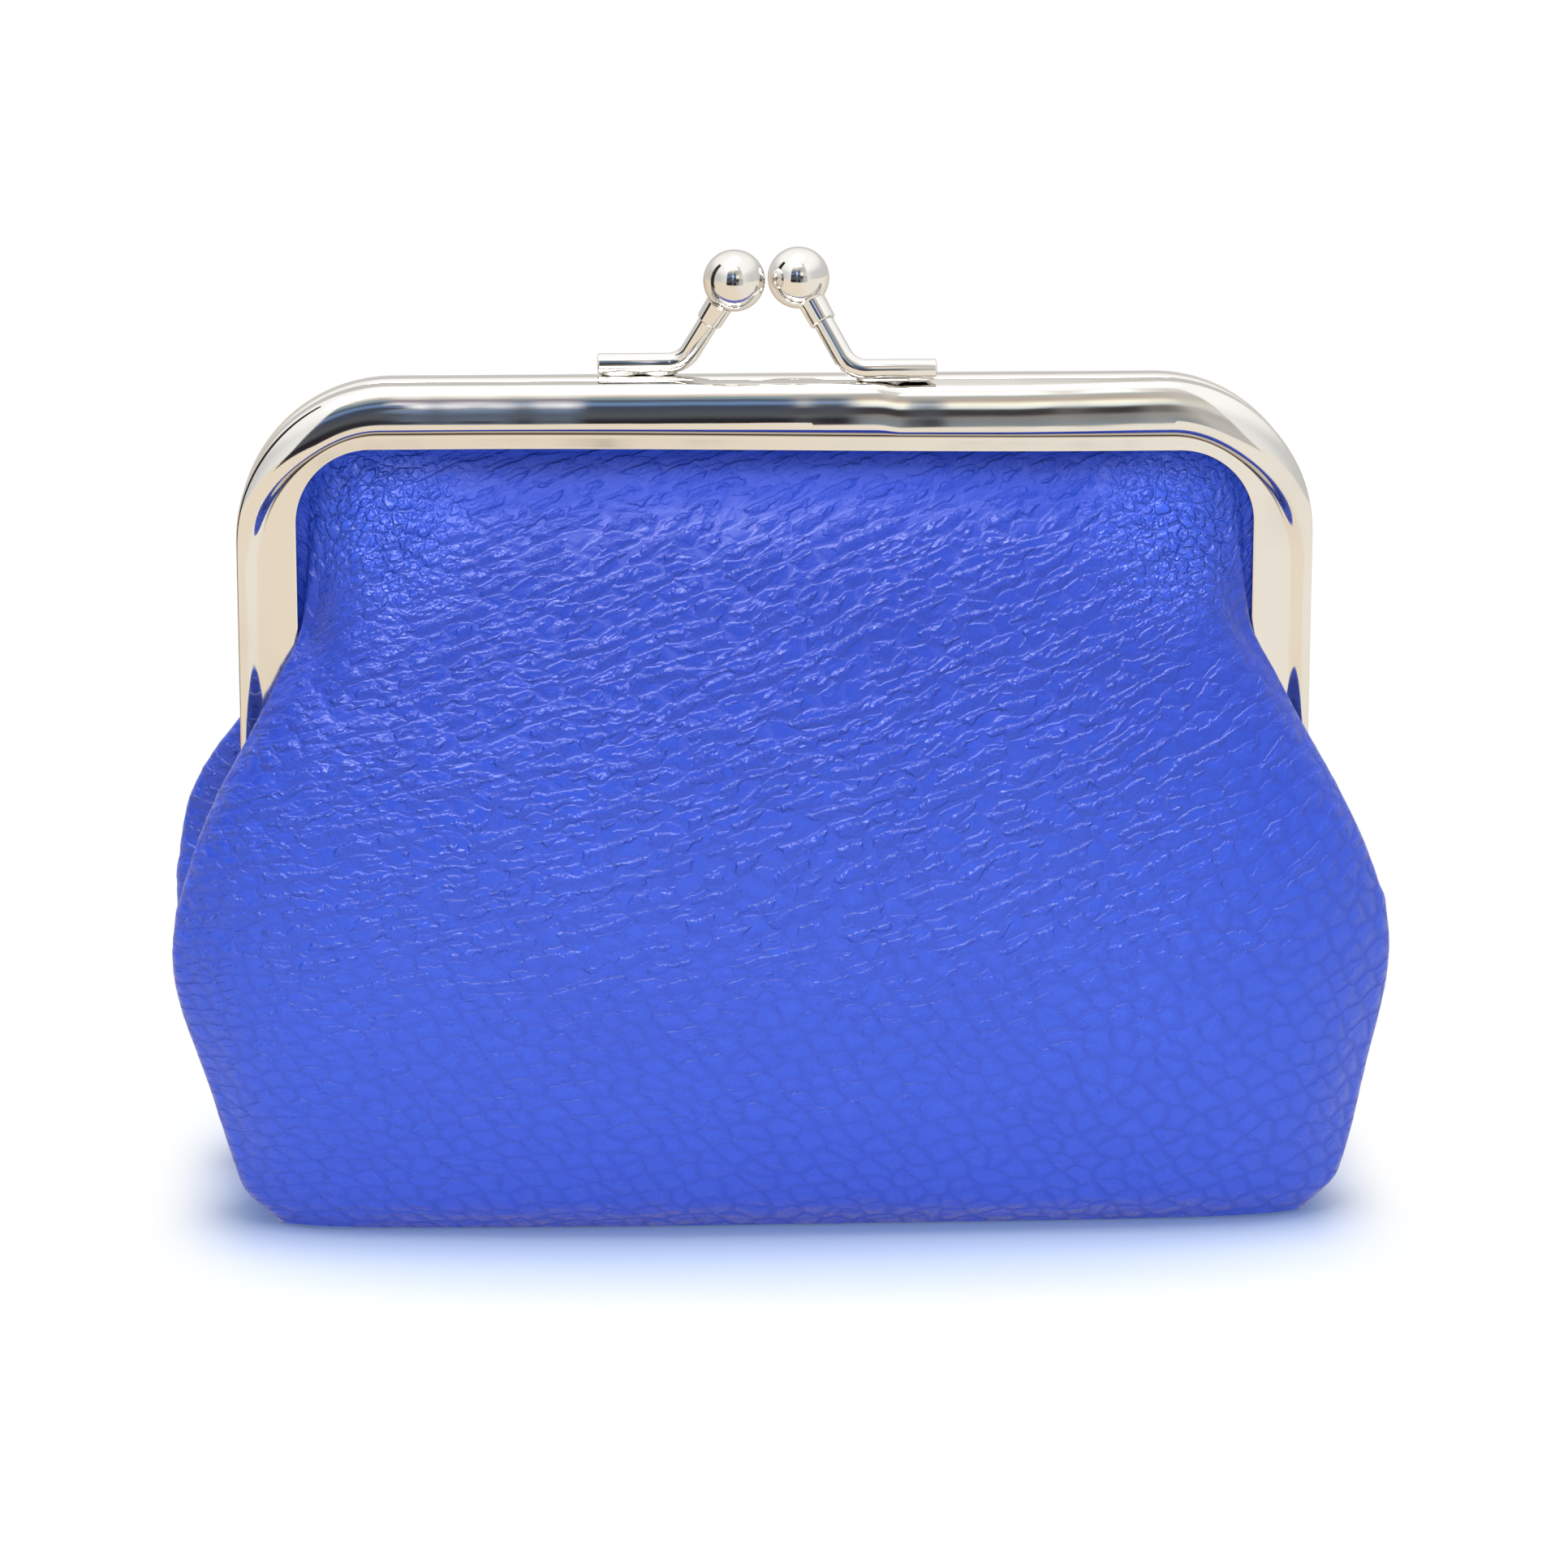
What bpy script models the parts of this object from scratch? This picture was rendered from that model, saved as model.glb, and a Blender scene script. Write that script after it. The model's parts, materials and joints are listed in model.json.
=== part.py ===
"""Kiss-lock coin purse: two hinged channel frames with crossed clasp arms, and a boxed leather bag."""

import bmesh
import bpy
from bisect import bisect_right
from math import cos, exp, hypot, pi, radians, sin, sqrt
from mathutils import Vector

# Frame, in metres. X runs along the frame, the front faces -Y, the base rests on Z = 0
FRAME_WIDTH = 0.098
FRAME_TOP = 0.076
HINGE_HEIGHT = 0.034
SHEET = 0.0004
OUTER_CORNER_RADIUS = 0.0142
INNER_CORNER_RADIUS = 0.0068
CHANNEL_TOP = 0.0059
CHANNEL_LEG = 0.0054
BEAD_HEIGHT_TOP = 0.0038
BEAD_HEIGHT_LEG = 0.0022
BEAD_PROUD = 0.0017
SEAM_ROUND = 0.0011
BACK_WALL_SHORTER = 0.0008
HALVES_GAP = 0.0003

# Hinge ears and rivets
EAR_RADIUS = 0.0026
EAR_SHEET = 0.0006
EAR_LENGTH = 0.0049
EAR_ROOT = 0.0014
EAR_INSET = 0.00015
EAR_GAP = 0.0003
RIVET_RADIUS = 0.0009
RIVET_CLEARANCE = 0.00009
RIVET_HEAD_RADIUS = 0.0019
RIVET_HEAD_HEIGHT = 0.0007
RIVET_TAIL_RADIUS = 0.0016
RIVET_TAIL_HEIGHT = 0.0005
RIVET_END_PLAY = 0.00015

# Clasp, a little left of the middle
CLASP_OFFSET = -0.0008
ROD_RADIUS = 0.00094
SOLDER_GAP = 0.0001
FOOT_OUTER = 0.0153
FOOT_INNER = 0.0075
BALL_RADIUS = 0.0028
BALL_GAP = 0.0003
BALL_RISE = 0.0090
BALL_CROSSING = 0.0009
BEND_RADIUS = 0.0024
COLLAR_RADIUS = 0.00122
COLLAR_LENGTH = 0.0022
BORE_CLEARANCE = 0.00007
BORE_STOP = 0.0004

# Leather, lining and the cord that packs the channel
LEATHER = 0.0008
LINING = 0.0003
LAYER_GAP = 0.00025
LINING_INSET = 0.0017
LINING_EDGE_INSET = 0.0010
TUCK_DEPTH = 0.0026
PAPER_CORD_RADIUS = 0.0007
THREAD_RADIUS = 0.0002
SEAM_SPREAD = 0.0015
SPLIT_GAP = 0.0005
HEM_LIFT = 0.00005
LIP_CLEARANCE = 0.0003
EAR_CLEARANCE = 0.0012
CORD_SHORTER = 0.0008
STITCHING_SHORTER = 0.0032

# Bag body
BASE_WIDTH = 0.0945
BASE_DEPTH = 0.0284
FOOT_HEIGHT = 0.0036
FOOT_WIDTH = 0.0992
FOOT_DEPTH = 0.0328
BELLY_HEIGHT = 0.025
BELLY_WIDTH = 0.1088
BELLY_DEPTH = 0.038
HINGE_DEPTH = 0.0356
HINGE_OVERHANG = 0.0043
CROSSING_HEIGHT = 0.0542
CROSSING_DEPTH = 0.020
TOP_DEPTH = 0.0150
LIP_SOFTNESS = 0.006

# Facets
ROUND_STEPS = 24
ARC_STEPS = 4
BEND_STEPS = 6
CORNER_STEPS = 8
LEATHER_COLUMNS = (0, 0.5, 1, 1.35, 1.7, 2, 2.3, 2.65, 3, 3.35, 3.8, 4.35, 5)
LINING_COLUMNS = (0, 0.5, 1, 1.4, 2.1, 3, 3.8, 5)
UPPER_ROWS = 8
LOWER_ROWS = 9
THREAD_STEPS = 8
ROW_CROWDING = 1.6
NORMAL_STEP = 0.5
LINING_EASE_START = 0.75
LINING_EASE_COLUMNS = 0.7
SLOPE_LIMIT = 1.3

# Worked-out places: depth is measured forwards from the plane between the halves
half_width = FRAME_WIDTH / 2
seam_face = HALVES_GAP / 2
lining_depth = seam_face + SHEET + LAYER_GAP + LINING / 2
leather_depth = lining_depth + LINING / 2 + LAYER_GAP + LEATHER / 2
flange_face = leather_depth + LEATHER / 2 + LAYER_GAP + SHEET
bead_face = flange_face + BEAD_PROUD
channel_end = HINGE_HEIGHT + EAR_LENGTH
lip_x = half_width - CHANNEL_LEG
lip_top = FRAME_TOP - CHANNEL_TOP
rear_ear_outer = half_width - EAR_INSET
front_ear_outer = rear_ear_outer - EAR_SHEET - EAR_GAP
bar_middle = (seam_face + bead_face) / 2
ball_x = BALL_RADIUS + BALL_GAP / 2
fold_clear = LEATHER / 2 + LAYER_GAP
hem_height = LEATHER / 2 + HEM_LIFT
lining_hem = hem_height + LEATHER + LAYER_GAP

FRONT, REAR = -1, 1


def clear_scene():
    for thing in list(bpy.data.objects):
        bpy.data.objects.remove(thing, do_unlink=True)


def new_collection(name):
    made = bpy.data.collections.new(name)
    bpy.context.scene.collection.children.link(made)
    return made


def principled(name, colour, metallic, roughness):
    material = bpy.data.materials.new(name)
    material.use_nodes = True
    shader = material.node_tree.nodes["Principled BSDF"]
    shader.inputs["Base Color"].default_value = (*colour, 1.0)
    shader.inputs["Metallic"].default_value = metallic
    shader.inputs["Roughness"].default_value = roughness
    material.diffuse_color = (*colour, 1.0)
    return material


def place(thing, material, parent):
    """Puts a finished piece in the purse, at its place, under its hinge empty."""
    purse.objects.link(thing)
    thing.data.materials.append(material)
    if parent:
        thing.parent = parent
        thing.matrix_parent_inverse = parent.matrix_world.inverted()


def as_cutter(thing):
    cutters.objects.link(thing)
    thing.hide_render = True
    thing.display_type = "WIRE"
    return thing


def hinge_empty(name):
    made = bpy.data.objects.new(name, None)
    made.location = (0, 0, HINGE_HEIGHT)
    made.empty_display_size = 0.01
    purse.objects.link(made)
    bpy.context.view_layer.update()
    return made


def mesh_object(name, bm, smooth=True):
    mesh = bpy.data.meshes.new(name)
    bm.to_mesh(mesh)
    bm.free()
    if smooth:
        mesh.shade_smooth()
        mesh.set_sharp_from_angle(angle=radians(35))
    return bpy.data.objects.new(name, mesh)


def lofted_sheet(name, rings):
    """An open sheet through the rings, made by extruding one ring's edges to the next."""
    bm = bmesh.new()
    row = [bm.verts.new(point) for point in rings[0]]
    edges = [bm.edges.new(pair) for pair in zip(row, row[1:])]
    for ring in rings[1:]:
        made = bmesh.ops.extrude_edge_only(bm, edges=edges)["geom"]
        fresh = {item for item in made if isinstance(item, bmesh.types.BMVert)}
        row = [
            next(edge.other_vert(old) for edge in old.link_edges if edge.other_vert(old) in fresh)
            for old in row
        ]
        for vert, point in zip(row, ring):
            vert.co = point
        edges = [bm.edges.get(pair) for pair in zip(row, row[1:])]
    return mesh_object(name, bm)


def solidify(thing, thickness, offset, even):
    wall = thing.modifiers.new("wall", "SOLIDIFY")
    wall.thickness = thickness
    wall.offset = offset
    wall.use_even_offset = even


def boolean(thing, other, operation):
    cut = thing.modifiers.new(other.name, "BOOLEAN")
    cut.operation = operation
    cut.object = other
    cut.solver = "EXACT"


def turned(name, profile):
    """A closed body turned about local Z from a profile of (radius, height), top to bottom."""
    bm = bmesh.new()
    verts = [bm.verts.new((radius, 0, height)) for radius, height in profile]
    for pair in zip(verts, verts[1:]):
        bm.edges.new(pair)
    thing = mesh_object(name, bm, smooth=False)
    spin = thing.modifiers.new("turn", "SCREW")
    spin.steps = ROUND_STEPS
    spin.render_steps = ROUND_STEPS
    spin.use_merge_vertices = True
    spin.merge_threshold = 0.00001
    spin.use_smooth_shade = True
    return thing


def wire(name, path, radius, sides_level):
    """A round wire along a path of points, with closed ends."""
    curve = bpy.data.curves.new(name, "CURVE")
    curve.dimensions = "3D"
    curve.bevel_depth = radius
    curve.bevel_resolution = sides_level
    curve.use_fill_caps = True
    spline = curve.splines.new("POLY")
    spline.points.add(len(path) - 1)
    for point, place_at in zip(spline.points, path):
        point.co = (*place_at, 1)
    return bpy.data.objects.new(name, curve)


def flat_outline(name, outline, thickness):
    """A plate with this outline in local XY, centred on local Z = 0."""
    curve = bpy.data.curves.new(name, "CURVE")
    curve.dimensions = "2D"
    curve.fill_mode = "BOTH"
    curve.extrude = thickness / 2
    spline = curve.splines.new("POLY")
    spline.points.add(len(outline) - 1)
    for point, (x, y) in zip(spline.points, outline):
        point.co = (x, y, 0, 1)
    spline.use_cyclic_u = True
    return bpy.data.objects.new(name, curve)


def as_mesh(thing):
    """The same piece as a mesh with its loose caps welded, so that it can be cut."""
    bpy.context.scene.collection.objects.link(thing)
    bpy.context.view_layer.update()
    depsgraph = bpy.context.evaluated_depsgraph_get()
    mesh = bpy.data.meshes.new_from_object(thing.evaluated_get(depsgraph))
    bm = bmesh.new()
    bm.from_mesh(mesh)
    bmesh.ops.remove_doubles(bm, verts=bm.verts, dist=0.0000005)
    bmesh.ops.recalc_face_normals(bm, faces=bm.faces)
    name, matrix = thing.name, thing.matrix_world.copy()
    bpy.data.objects.remove(thing, do_unlink=True)
    made = mesh_object(name, bm)
    made.name = name
    made.matrix_world = matrix
    return made


def arc(start, end, steps):
    """Angles in radians from start to end in degrees, both included."""
    return [radians(start + (end - start) * step / steps) for step in range(steps + 1)]


# The frame's path: a leg, a corner and the top bar, for a line at a given distance inside the edge
def corner_radius(inset_top):
    share = inset_top / CHANNEL_TOP
    return OUTER_CORNER_RADIUS + (INNER_CORNER_RADIUS - OUTER_CORNER_RADIUS) * share


def corner_line(inset_leg, inset_top):
    radius = corner_radius(inset_top)
    centre_x = half_width - inset_leg - radius
    centre_z = FRAME_TOP - inset_top - radius
    return [(centre_x + radius * cos(a), centre_z + radius * sin(a)) for a in arc(0, 90, CORNER_STEPS)]


def frame_line(inset_leg, inset_top, bottom):
    """One line along the whole U, from the left leg's end to the right leg's end, as (x, z)."""
    right = [(half_width - inset_leg, bottom)] + corner_line(inset_leg, inset_top)
    return [(-x, z) for x, z in right] + [(x, z) for x, z in reversed(right)]


def channel_profile():
    """The outer skin's section as (inset on a leg, inset on the top bar, depth)."""
    points = [(CHANNEL_LEG - BACK_WALL_SHORTER, CHANNEL_TOP - BACK_WALL_SHORTER, seam_face)]
    for angle in arc(0, 90, ARC_STEPS):
        inset = SEAM_ROUND * (1 - sin(angle))
        points.append((inset, inset, seam_face + SEAM_ROUND * (1 - cos(angle))))
    crown_depth = bead_face - BEAD_PROUD
    for angle in arc(0, 90, ARC_STEPS):
        share = (1 - cos(angle)) / 2
        points.append(
            (BEAD_HEIGHT_LEG * share, BEAD_HEIGHT_TOP * share, crown_depth + BEAD_PROUD * sin(angle))
        )
    for angle in arc(0, 90, ARC_STEPS)[1:]:
        share = (1 + sin(angle)) / 2
        points.append(
            (BEAD_HEIGHT_LEG * share, BEAD_HEIGHT_TOP * share, flange_face + BEAD_PROUD * cos(angle))
        )
    points.append((CHANNEL_LEG, CHANNEL_TOP, flange_face))
    return points


def joggle_strip(name, side, ear_outer, root_outer):
    """The bent strip, seen along Y, that sets an ear inboard of its channel wall."""
    low = HINGE_HEIGHT - 2 * EAR_RADIUS
    high = channel_end + EAR_ROOT
    bend_low = HINGE_HEIGHT + EAR_RADIUS
    outer = [(ear_outer, low), (ear_outer, bend_low), (root_outer, channel_end), (root_outer, high)]
    inner = [(x - EAR_SHEET, z) for x, z in reversed(outer)]
    strip = flat_outline(name, [(side * x, z) for x, z in outer + inner], 4 * bead_face)
    strip.rotation_euler = (pi / 2, 0, 0)
    return as_cutter(as_mesh(strip))


def hinge_ear(name, side, facing, ear_outer):
    """A round-ended, drilled ear in the YZ plane, joined to its channel's outer wall."""
    top = channel_end + EAR_ROOT
    near = facing * (seam_face + SEAM_ROUND * 0.7)
    far = facing * (flange_face + BEAD_PROUD * 0.3)
    end = [
        (-facing * EAR_RADIUS * cos(a), HINGE_HEIGHT - EAR_RADIUS * sin(a))
        for a in arc(0, 180, ROUND_STEPS // 2)
    ]
    outline = [(near, top), (near, HINGE_HEIGHT + EAR_RADIUS)] + end + [(far, top)]
    plate = flat_outline(name, outline, 8 * EAR_SHEET)
    plate.rotation_euler = (pi / 2, 0, pi / 2)
    plate.location = (side * half_width, 0, 0)
    ear = as_cutter(as_mesh(plate))
    boolean(ear, joggle_strip(name + "_strip", side, ear_outer, rear_ear_outer), "INTERSECT")
    bm = bmesh.new()
    hole = RIVET_RADIUS + RIVET_CLEARANCE
    bmesh.ops.create_cone(
        bm, cap_ends=True, segments=ROUND_STEPS, radius1=hole, radius2=hole, depth=20 * EAR_SHEET
    )
    drill = as_cutter(mesh_object(name + "_drill", bm))
    drill.rotation_euler = (0, pi / 2, 0)
    drill.location = (side * half_width, 0, HINGE_HEIGHT)
    boolean(ear, drill, "DIFFERENCE")
    return ear


def frame_half(name, facing, ear_outer, parent):
    """One half: a channel swept round the U, open inwards, with an ear at each leg's end."""
    lines = []
    for inset_leg, inset_top, depth in channel_profile():
        line = frame_line(inset_leg, inset_top, channel_end)
        lines.append([(x, facing * depth, z) for x, z in line])
    rings = [list(ring) for ring in zip(*lines)]
    if facing == FRONT:
        rings.reverse()
    channel = lofted_sheet(name, rings)
    solidify(channel, SHEET, -1, True)
    for side, label in ((-1, "left"), (1, "right")):
        boolean(channel, hinge_ear(f"{name}_{label}_ear", side, facing, ear_outer), "UNION")
    place(channel, nickel, parent)


def hinge_rivet(name, side):
    """A domed head outside, a shank through both ears and a set tail inside."""
    outer = rear_ear_outer + RIVET_END_PLAY
    inner = front_ear_outer - EAR_SHEET - RIVET_END_PLAY
    profile = [(0, outer + RIVET_HEAD_HEIGHT)]
    for angle in arc(70, 0, ARC_STEPS):
        profile.append((RIVET_HEAD_RADIUS * cos(angle), outer + RIVET_HEAD_HEIGHT * sin(angle)))
    profile += [
        (RIVET_RADIUS, outer),
        (RIVET_RADIUS, inner),
        (RIVET_TAIL_RADIUS, inner),
        (RIVET_TAIL_RADIUS, inner - RIVET_TAIL_HEIGHT / 2),
        (RIVET_TAIL_RADIUS * 0.7, inner - RIVET_TAIL_HEIGHT),
        (0, inner - RIVET_TAIL_HEIGHT),
    ]
    rivet = turned(name, profile)
    rivet.rotation_euler = (0, side * pi / 2, 0)
    rivet.location = (0, 0, HINGE_HEIGHT)
    place(rivet, nickel, None)


def clasp_stem(facing):
    """The stem's corner on the bar, its ball's centre and its direction, for one half."""
    side = -facing
    foot_z = FRAME_TOP + SOLDER_GAP + ROD_RADIUS
    corner = Vector((CLASP_OFFSET + side * FOOT_INNER, facing * bar_middle, foot_z))
    centre = Vector((CLASP_OFFSET + side * ball_x, -facing * BALL_CROSSING, FRAME_TOP + BALL_RISE))
    return corner, centre, (centre - corner).normalized()


def clasp_arm(name, facing, parent):
    """A rod: a foot soldered along the top bar, an easy bend, and a stem into the ball."""
    corner, centre, stem = clasp_stem(facing)
    foot = Vector((-facing, 0, 0))
    half_turn = (pi - foot.angle(stem)) / 2
    tangent = BEND_RADIUS * sin(half_turn) / cos(half_turn)
    middle = corner + (foot + stem).normalized() * BEND_RADIUS / cos(half_turn)
    path = [corner + foot * (FOOT_OUTER - FOOT_INNER)]
    start, end = corner + foot * tangent, corner + stem * tangent
    spoke, last_spoke = (start - middle).normalized(), (end - middle).normalized()
    for step in range(BEND_STEPS + 1):
        path.append(middle + spoke.slerp(last_spoke, step / BEND_STEPS) * BEND_RADIUS)
    path.append(centre - stem * (BORE_STOP + BORE_CLEARANCE))
    place(wire(name, path, ROD_RADIUS, 2), nickel, parent)


def clasp_ball(name, facing, parent):
    """A ball with a short collar, bored blind for the stem."""
    _, centre, stem = clasp_stem(facing)
    bore = ROD_RADIUS + BORE_CLEARANCE
    bore = bore / cos(pi / ROUND_STEPS)
    neck = sqrt(BALL_RADIUS**2 - COLLAR_RADIUS**2)
    lowest = -90 + 180 * (COLLAR_RADIUS / BALL_RADIUS) / pi
    profile = [
        (BALL_RADIUS * cos(a), BALL_RADIUS * sin(a)) for a in arc(90, lowest, 3 * ARC_STEPS)[:-1]
    ]
    profile[0] = (0, BALL_RADIUS)
    profile += [
        (COLLAR_RADIUS, -neck),
        (COLLAR_RADIUS, -neck - COLLAR_LENGTH),
        (bore, -neck - COLLAR_LENGTH),
        (bore, -BORE_STOP),
        (0, -BORE_STOP),
    ]
    ball = turned(name, profile)
    ball.rotation_euler = stem.to_track_quat("Z", "Y").to_euler()
    ball.location = centre
    place(ball, nickel, parent)


def paper_cord(name, facing, parent):
    """The paper cord that wedges the leather's edge in the channel."""
    inset_leg = SHEET + LAYER_GAP + PAPER_CORD_RADIUS
    line = frame_line(inset_leg, inset_leg, channel_end + EAR_ROOT + CORD_SHORTER)
    depth = flange_face - SHEET - LAYER_GAP - PAPER_CORD_RADIUS
    path = [(x, facing * depth, z) for x, z in line]
    place(wire(name, path, PAPER_CORD_RADIUS, 1), paper, parent)


# The bag's section: six points from the seam or channel to the middle of the panel, at each height
def leather_stations():
    """Shares of the bag's own width and depth; beside the metal, multiples of its clearances."""
    edge = (half_width - TUCK_DEPTH, leather_depth)
    lip = lip_x - fold_clear - LIP_CLEARANCE
    tail_end = front_ear_outer - EAR_SHEET - RIVET_END_PLAY - RIVET_TAIL_HEIGHT
    beside = tail_end - fold_clear - EAR_CLEARANCE
    seam_y = SEAM_SPREAD / 2
    base, foot, belly = BASE_WIDTH / 2, FOOT_WIDTH / 2, BELLY_WIDTH / 2
    base_y, foot_y, belly_y = BASE_DEPTH / 2, FOOT_DEPTH / 2, BELLY_DEPTH / 2
    bulge, bulge_y = half_width + HINGE_OVERHANG, HINGE_DEPTH / 2
    cross_y, top_y = CROSSING_DEPTH / 2, TOP_DEPTH / 2
    deep = bead_face + fold_clear
    under = HINGE_HEIGHT - EAR_RADIUS
    rise = CROSSING_HEIGHT - channel_end
    return [
        (hem_height, [
            (base * 0.996, seam_y), (base, base_y * 0.211), (base * 0.998, base_y * 0.549),
            (base * 0.964, base_y * 0.88), (base * 0.73, base_y * 0.98), (0, base_y)]),
        (FOOT_HEIGHT, [
            (foot * 0.972, seam_y), (foot * 0.986, foot_y * 0.183), (foot * 0.998, foot_y * 0.427),
            (foot * 0.988, foot_y * 0.72), (foot * 0.73, foot_y * 0.962), (0, foot_y)]),
        (BELLY_HEIGHT / 2, [
            (belly * 0.89, seam_y), (belly * 0.917, belly_y * 0.147),
            (belly * 0.945, belly_y * 0.326), (belly * 0.952, belly_y * 0.568),
            (belly * 0.73, belly_y * 0.898), (0, belly_y * 0.978)]),
        (BELLY_HEIGHT, [
            (belly * 0.886, seam_y), (belly * 0.934, belly_y * 0.126),
            (belly * 0.982, belly_y * 0.274), (belly, belly_y * 0.516),
            (belly * 0.74, belly_y * 0.89), (0, belly_y)]),
        (under - EAR_RADIUS * 1.15, [
            (beside + EAR_RADIUS * 0.85, seam_y), (beside + EAR_RADIUS * 1.77, bulge_y * 0.129),
            (bulge * 0.976, bulge_y * 0.27), (bulge * 1.019, bulge_y * 0.517),
            (bulge * 0.755, bulge_y * 0.934), (0, bulge_y * 1.054)]),
        (under - EAR_RADIUS * 0.35, [
            (beside, seam_y * 1.27), (beside + EAR_RADIUS * 0.38, bulge_y * 0.169),
            (bulge * 0.917, bulge_y * 0.281), (bulge * 1.011, bulge_y * 0.511),
            (bulge * 0.755, bulge_y * 0.92), (0, bulge_y * 1.04)]),
        (HINGE_HEIGHT, [
            (beside, seam_y * 1.53), (beside - EAR_RADIUS * 0.23, bulge_y * 0.18),
            (beside + EAR_RADIUS * 0.77, deep + EAR_RADIUS * 0.12),
            (bulge * 0.991, bulge_y * 0.494), (bulge * 0.75, bulge_y * 0.888),
            (0, bulge_y * 1.01)]),
        (channel_end, [
            edge, (lip, leather_depth), (lip, flange_face + fold_clear * 2.15),
            (half_width * 1.035, deep + fold_clear * 4.3), (half_width * 0.8, bulge_y * 0.828),
            (0, bulge_y * 0.952)]),
        (channel_end + rise * 0.37, [
            edge, (lip, leather_depth), (lip, flange_face + fold_clear * 1.85),
            (half_width * 0.969, deep + fold_clear * 3.4), (half_width * 0.765, cross_y * 1.32),
            (0, cross_y * 1.524)]),
        (channel_end + rise * 0.68, [
            edge, (lip, leather_depth), (lip, flange_face + fold_clear * 1.23),
            (lip_x + fold_clear * 1.85, deep + fold_clear * 1.85),
            (half_width * 0.735, cross_y * 1.15), (0, cross_y * 1.344)]),
        (CROSSING_HEIGHT, [
            edge, (lip, leather_depth), (lip - fold_clear * 0.3, flange_face + fold_clear * 0.3),
            (lip - fold_clear * 0.9, flange_face + fold_clear * 3.1),
            (half_width * 0.7, cross_y * 0.99), (0, cross_y * 1.16)]),
        (lip_top, [
            edge, (lip, leather_depth), (lip - fold_clear * 2.15, leather_depth + fold_clear * 1.54),
            (lip - fold_clear * 5.5, leather_depth + fold_clear * 3.7),
            (half_width * 0.62, top_y * 0.88), (0, top_y)]),
    ]


def eased(below, above, share):
    """The rate between two rates, held near the gentler one, so that nothing bulges past it."""
    middle = below + (above - below) * share
    if below * above <= 0:
        return middle
    limit = SLOPE_LIMIT * min(abs(below), abs(above))
    return max(-limit, min(limit, middle))


def station_slopes():
    """How the control points drift with height at each station, from its two neighbours."""
    rates = []
    for (low, low_row), (high, high_row) in zip(stations, stations[1:]):
        step = high - low
        rates.append([((x1 - x0) / step, (y1 - y0) / step)
                      for (x0, y0), (x1, y1) in zip(low_row, high_row)])
    slopes = [rates[0]]
    for index in range(1, len(stations) - 1):
        before = stations[index][0] - stations[index - 1][0]
        after = stations[index + 1][0] - stations[index][0]
        share = before / (before + after)
        slopes.append([
            (eased(x0, x1, share), eased(y0, y1, share))
            for (x0, y0), (x1, y1) in zip(rates[index - 1], rates[index])
        ])
    return slopes + [rates[-1]]


def cubic(before, start, end, after, share):
    """Catmull-Rom between start and end."""
    return 0.5 * (
        2 * start
        + (end - before) * share
        + (2 * before - 5 * start + 4 * end - after) * share**2
        + (3 * start - before - 3 * end + after) * share**3
    )


def along(values, position):
    """The smooth value at a position counted in control points; the ends run straight."""
    last = len(values) - 1
    index = min(int(position), last - 1)
    before = values[index - 1] if index else 2 * values[0] - values[1]
    after = values[index + 2] if index + 2 <= last else 2 * values[last] - values[last - 1]
    return cubic(before, values[index], values[index + 1], after, position - index)


def section_at(height):
    """The control points at a height, eased between the stations above and below."""
    heights = [row[0] for row in stations]
    index = min(max(bisect_right(heights, height) - 1, 0), len(heights) - 2)
    step = heights[index + 1] - heights[index]
    share = min(max((height - heights[index]) / step, 0), 1)
    rest = 1 - share
    weights = (
        (1 + 2 * share) * rest**2, share * rest**2 * step,
        share**2 * (3 - 2 * share), -rest * share**2 * step,
    )
    rows = zip(stations[index][1], slopes[index], stations[index + 1][1], slopes[index + 1])
    return [
        tuple(sum(w * point[axis] for w, point in zip(weights, row)) for axis in (0, 1))
        for row in rows
    ]


def leather_point(column, height):
    """A point of the half panel: column 0 is the seam or channel edge, the last is the middle."""
    points = section_at(height)
    xs = [x for x, _ in points] + [-points[-2][0]]
    ys = [y for _, y in points] + [points[-2][1]]
    return along(xs, column), along(ys, column)


def lining_point(column, height):
    """The same place drawn into the bag, square to the leather; the edges stay closer."""
    last = LEATHER_COLUMNS[-1]
    x0, y0 = leather_point(max(column - NORMAL_STEP, 0), height)
    x1, y1 = leather_point(min(column + NORMAL_STEP, last), height)
    x, y = leather_point(column, height)
    length = hypot(x1 - x0, y1 - y0)
    edge = leather_depth - lining_depth if height >= channel_end else LINING_EDGE_INSET
    away = edge + (LINING_INSET - edge) * min(max(column - LINING_EASE_START, 0) / LINING_EASE_COLUMNS, 1)
    return x - away * (y1 - y0) / length, y + away * (x1 - x0) / length


def outline_top(x, inset):
    """The height of a line inside the frame's outer edge, above a place on the top bar."""
    radius = corner_radius(inset)
    beyond = x - (half_width - inset - radius)
    if beyond <= 0:
        return FRAME_TOP - inset
    return FRAME_TOP - inset - radius + sqrt(max(radius**2 - beyond**2, 0))


def upper_column(point_at, column, tucked_depth, rows):
    """One column of an upper panel, from the hinge line up into the channel."""
    top_x, _ = point_at(column, lip_top)
    top = outline_top(top_x, TUCK_DEPTH)
    lip = (outline_top(top_x, CHANNEL_TOP) if top_x < lip_x else top) - fold_clear
    bottom = HINGE_HEIGHT + SPLIT_GAP / 2
    free_rows = [bottom, (bottom + channel_end) / 2]
    open_rows = [channel_end + (lip - channel_end) * row / rows for row in range(rows + 1)]
    points = []
    for z in free_rows + open_rows + [top]:
        x, y = point_at(column, min(z, lip_top))
        below = max(lip - z, 0)
        fullness = 1 - exp(-below / LIP_SOFTNESS)
        if z > channel_end:
            y = tucked_depth + (y - tucked_depth) * fullness
        points.append((x, y, z))
    return points


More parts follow.
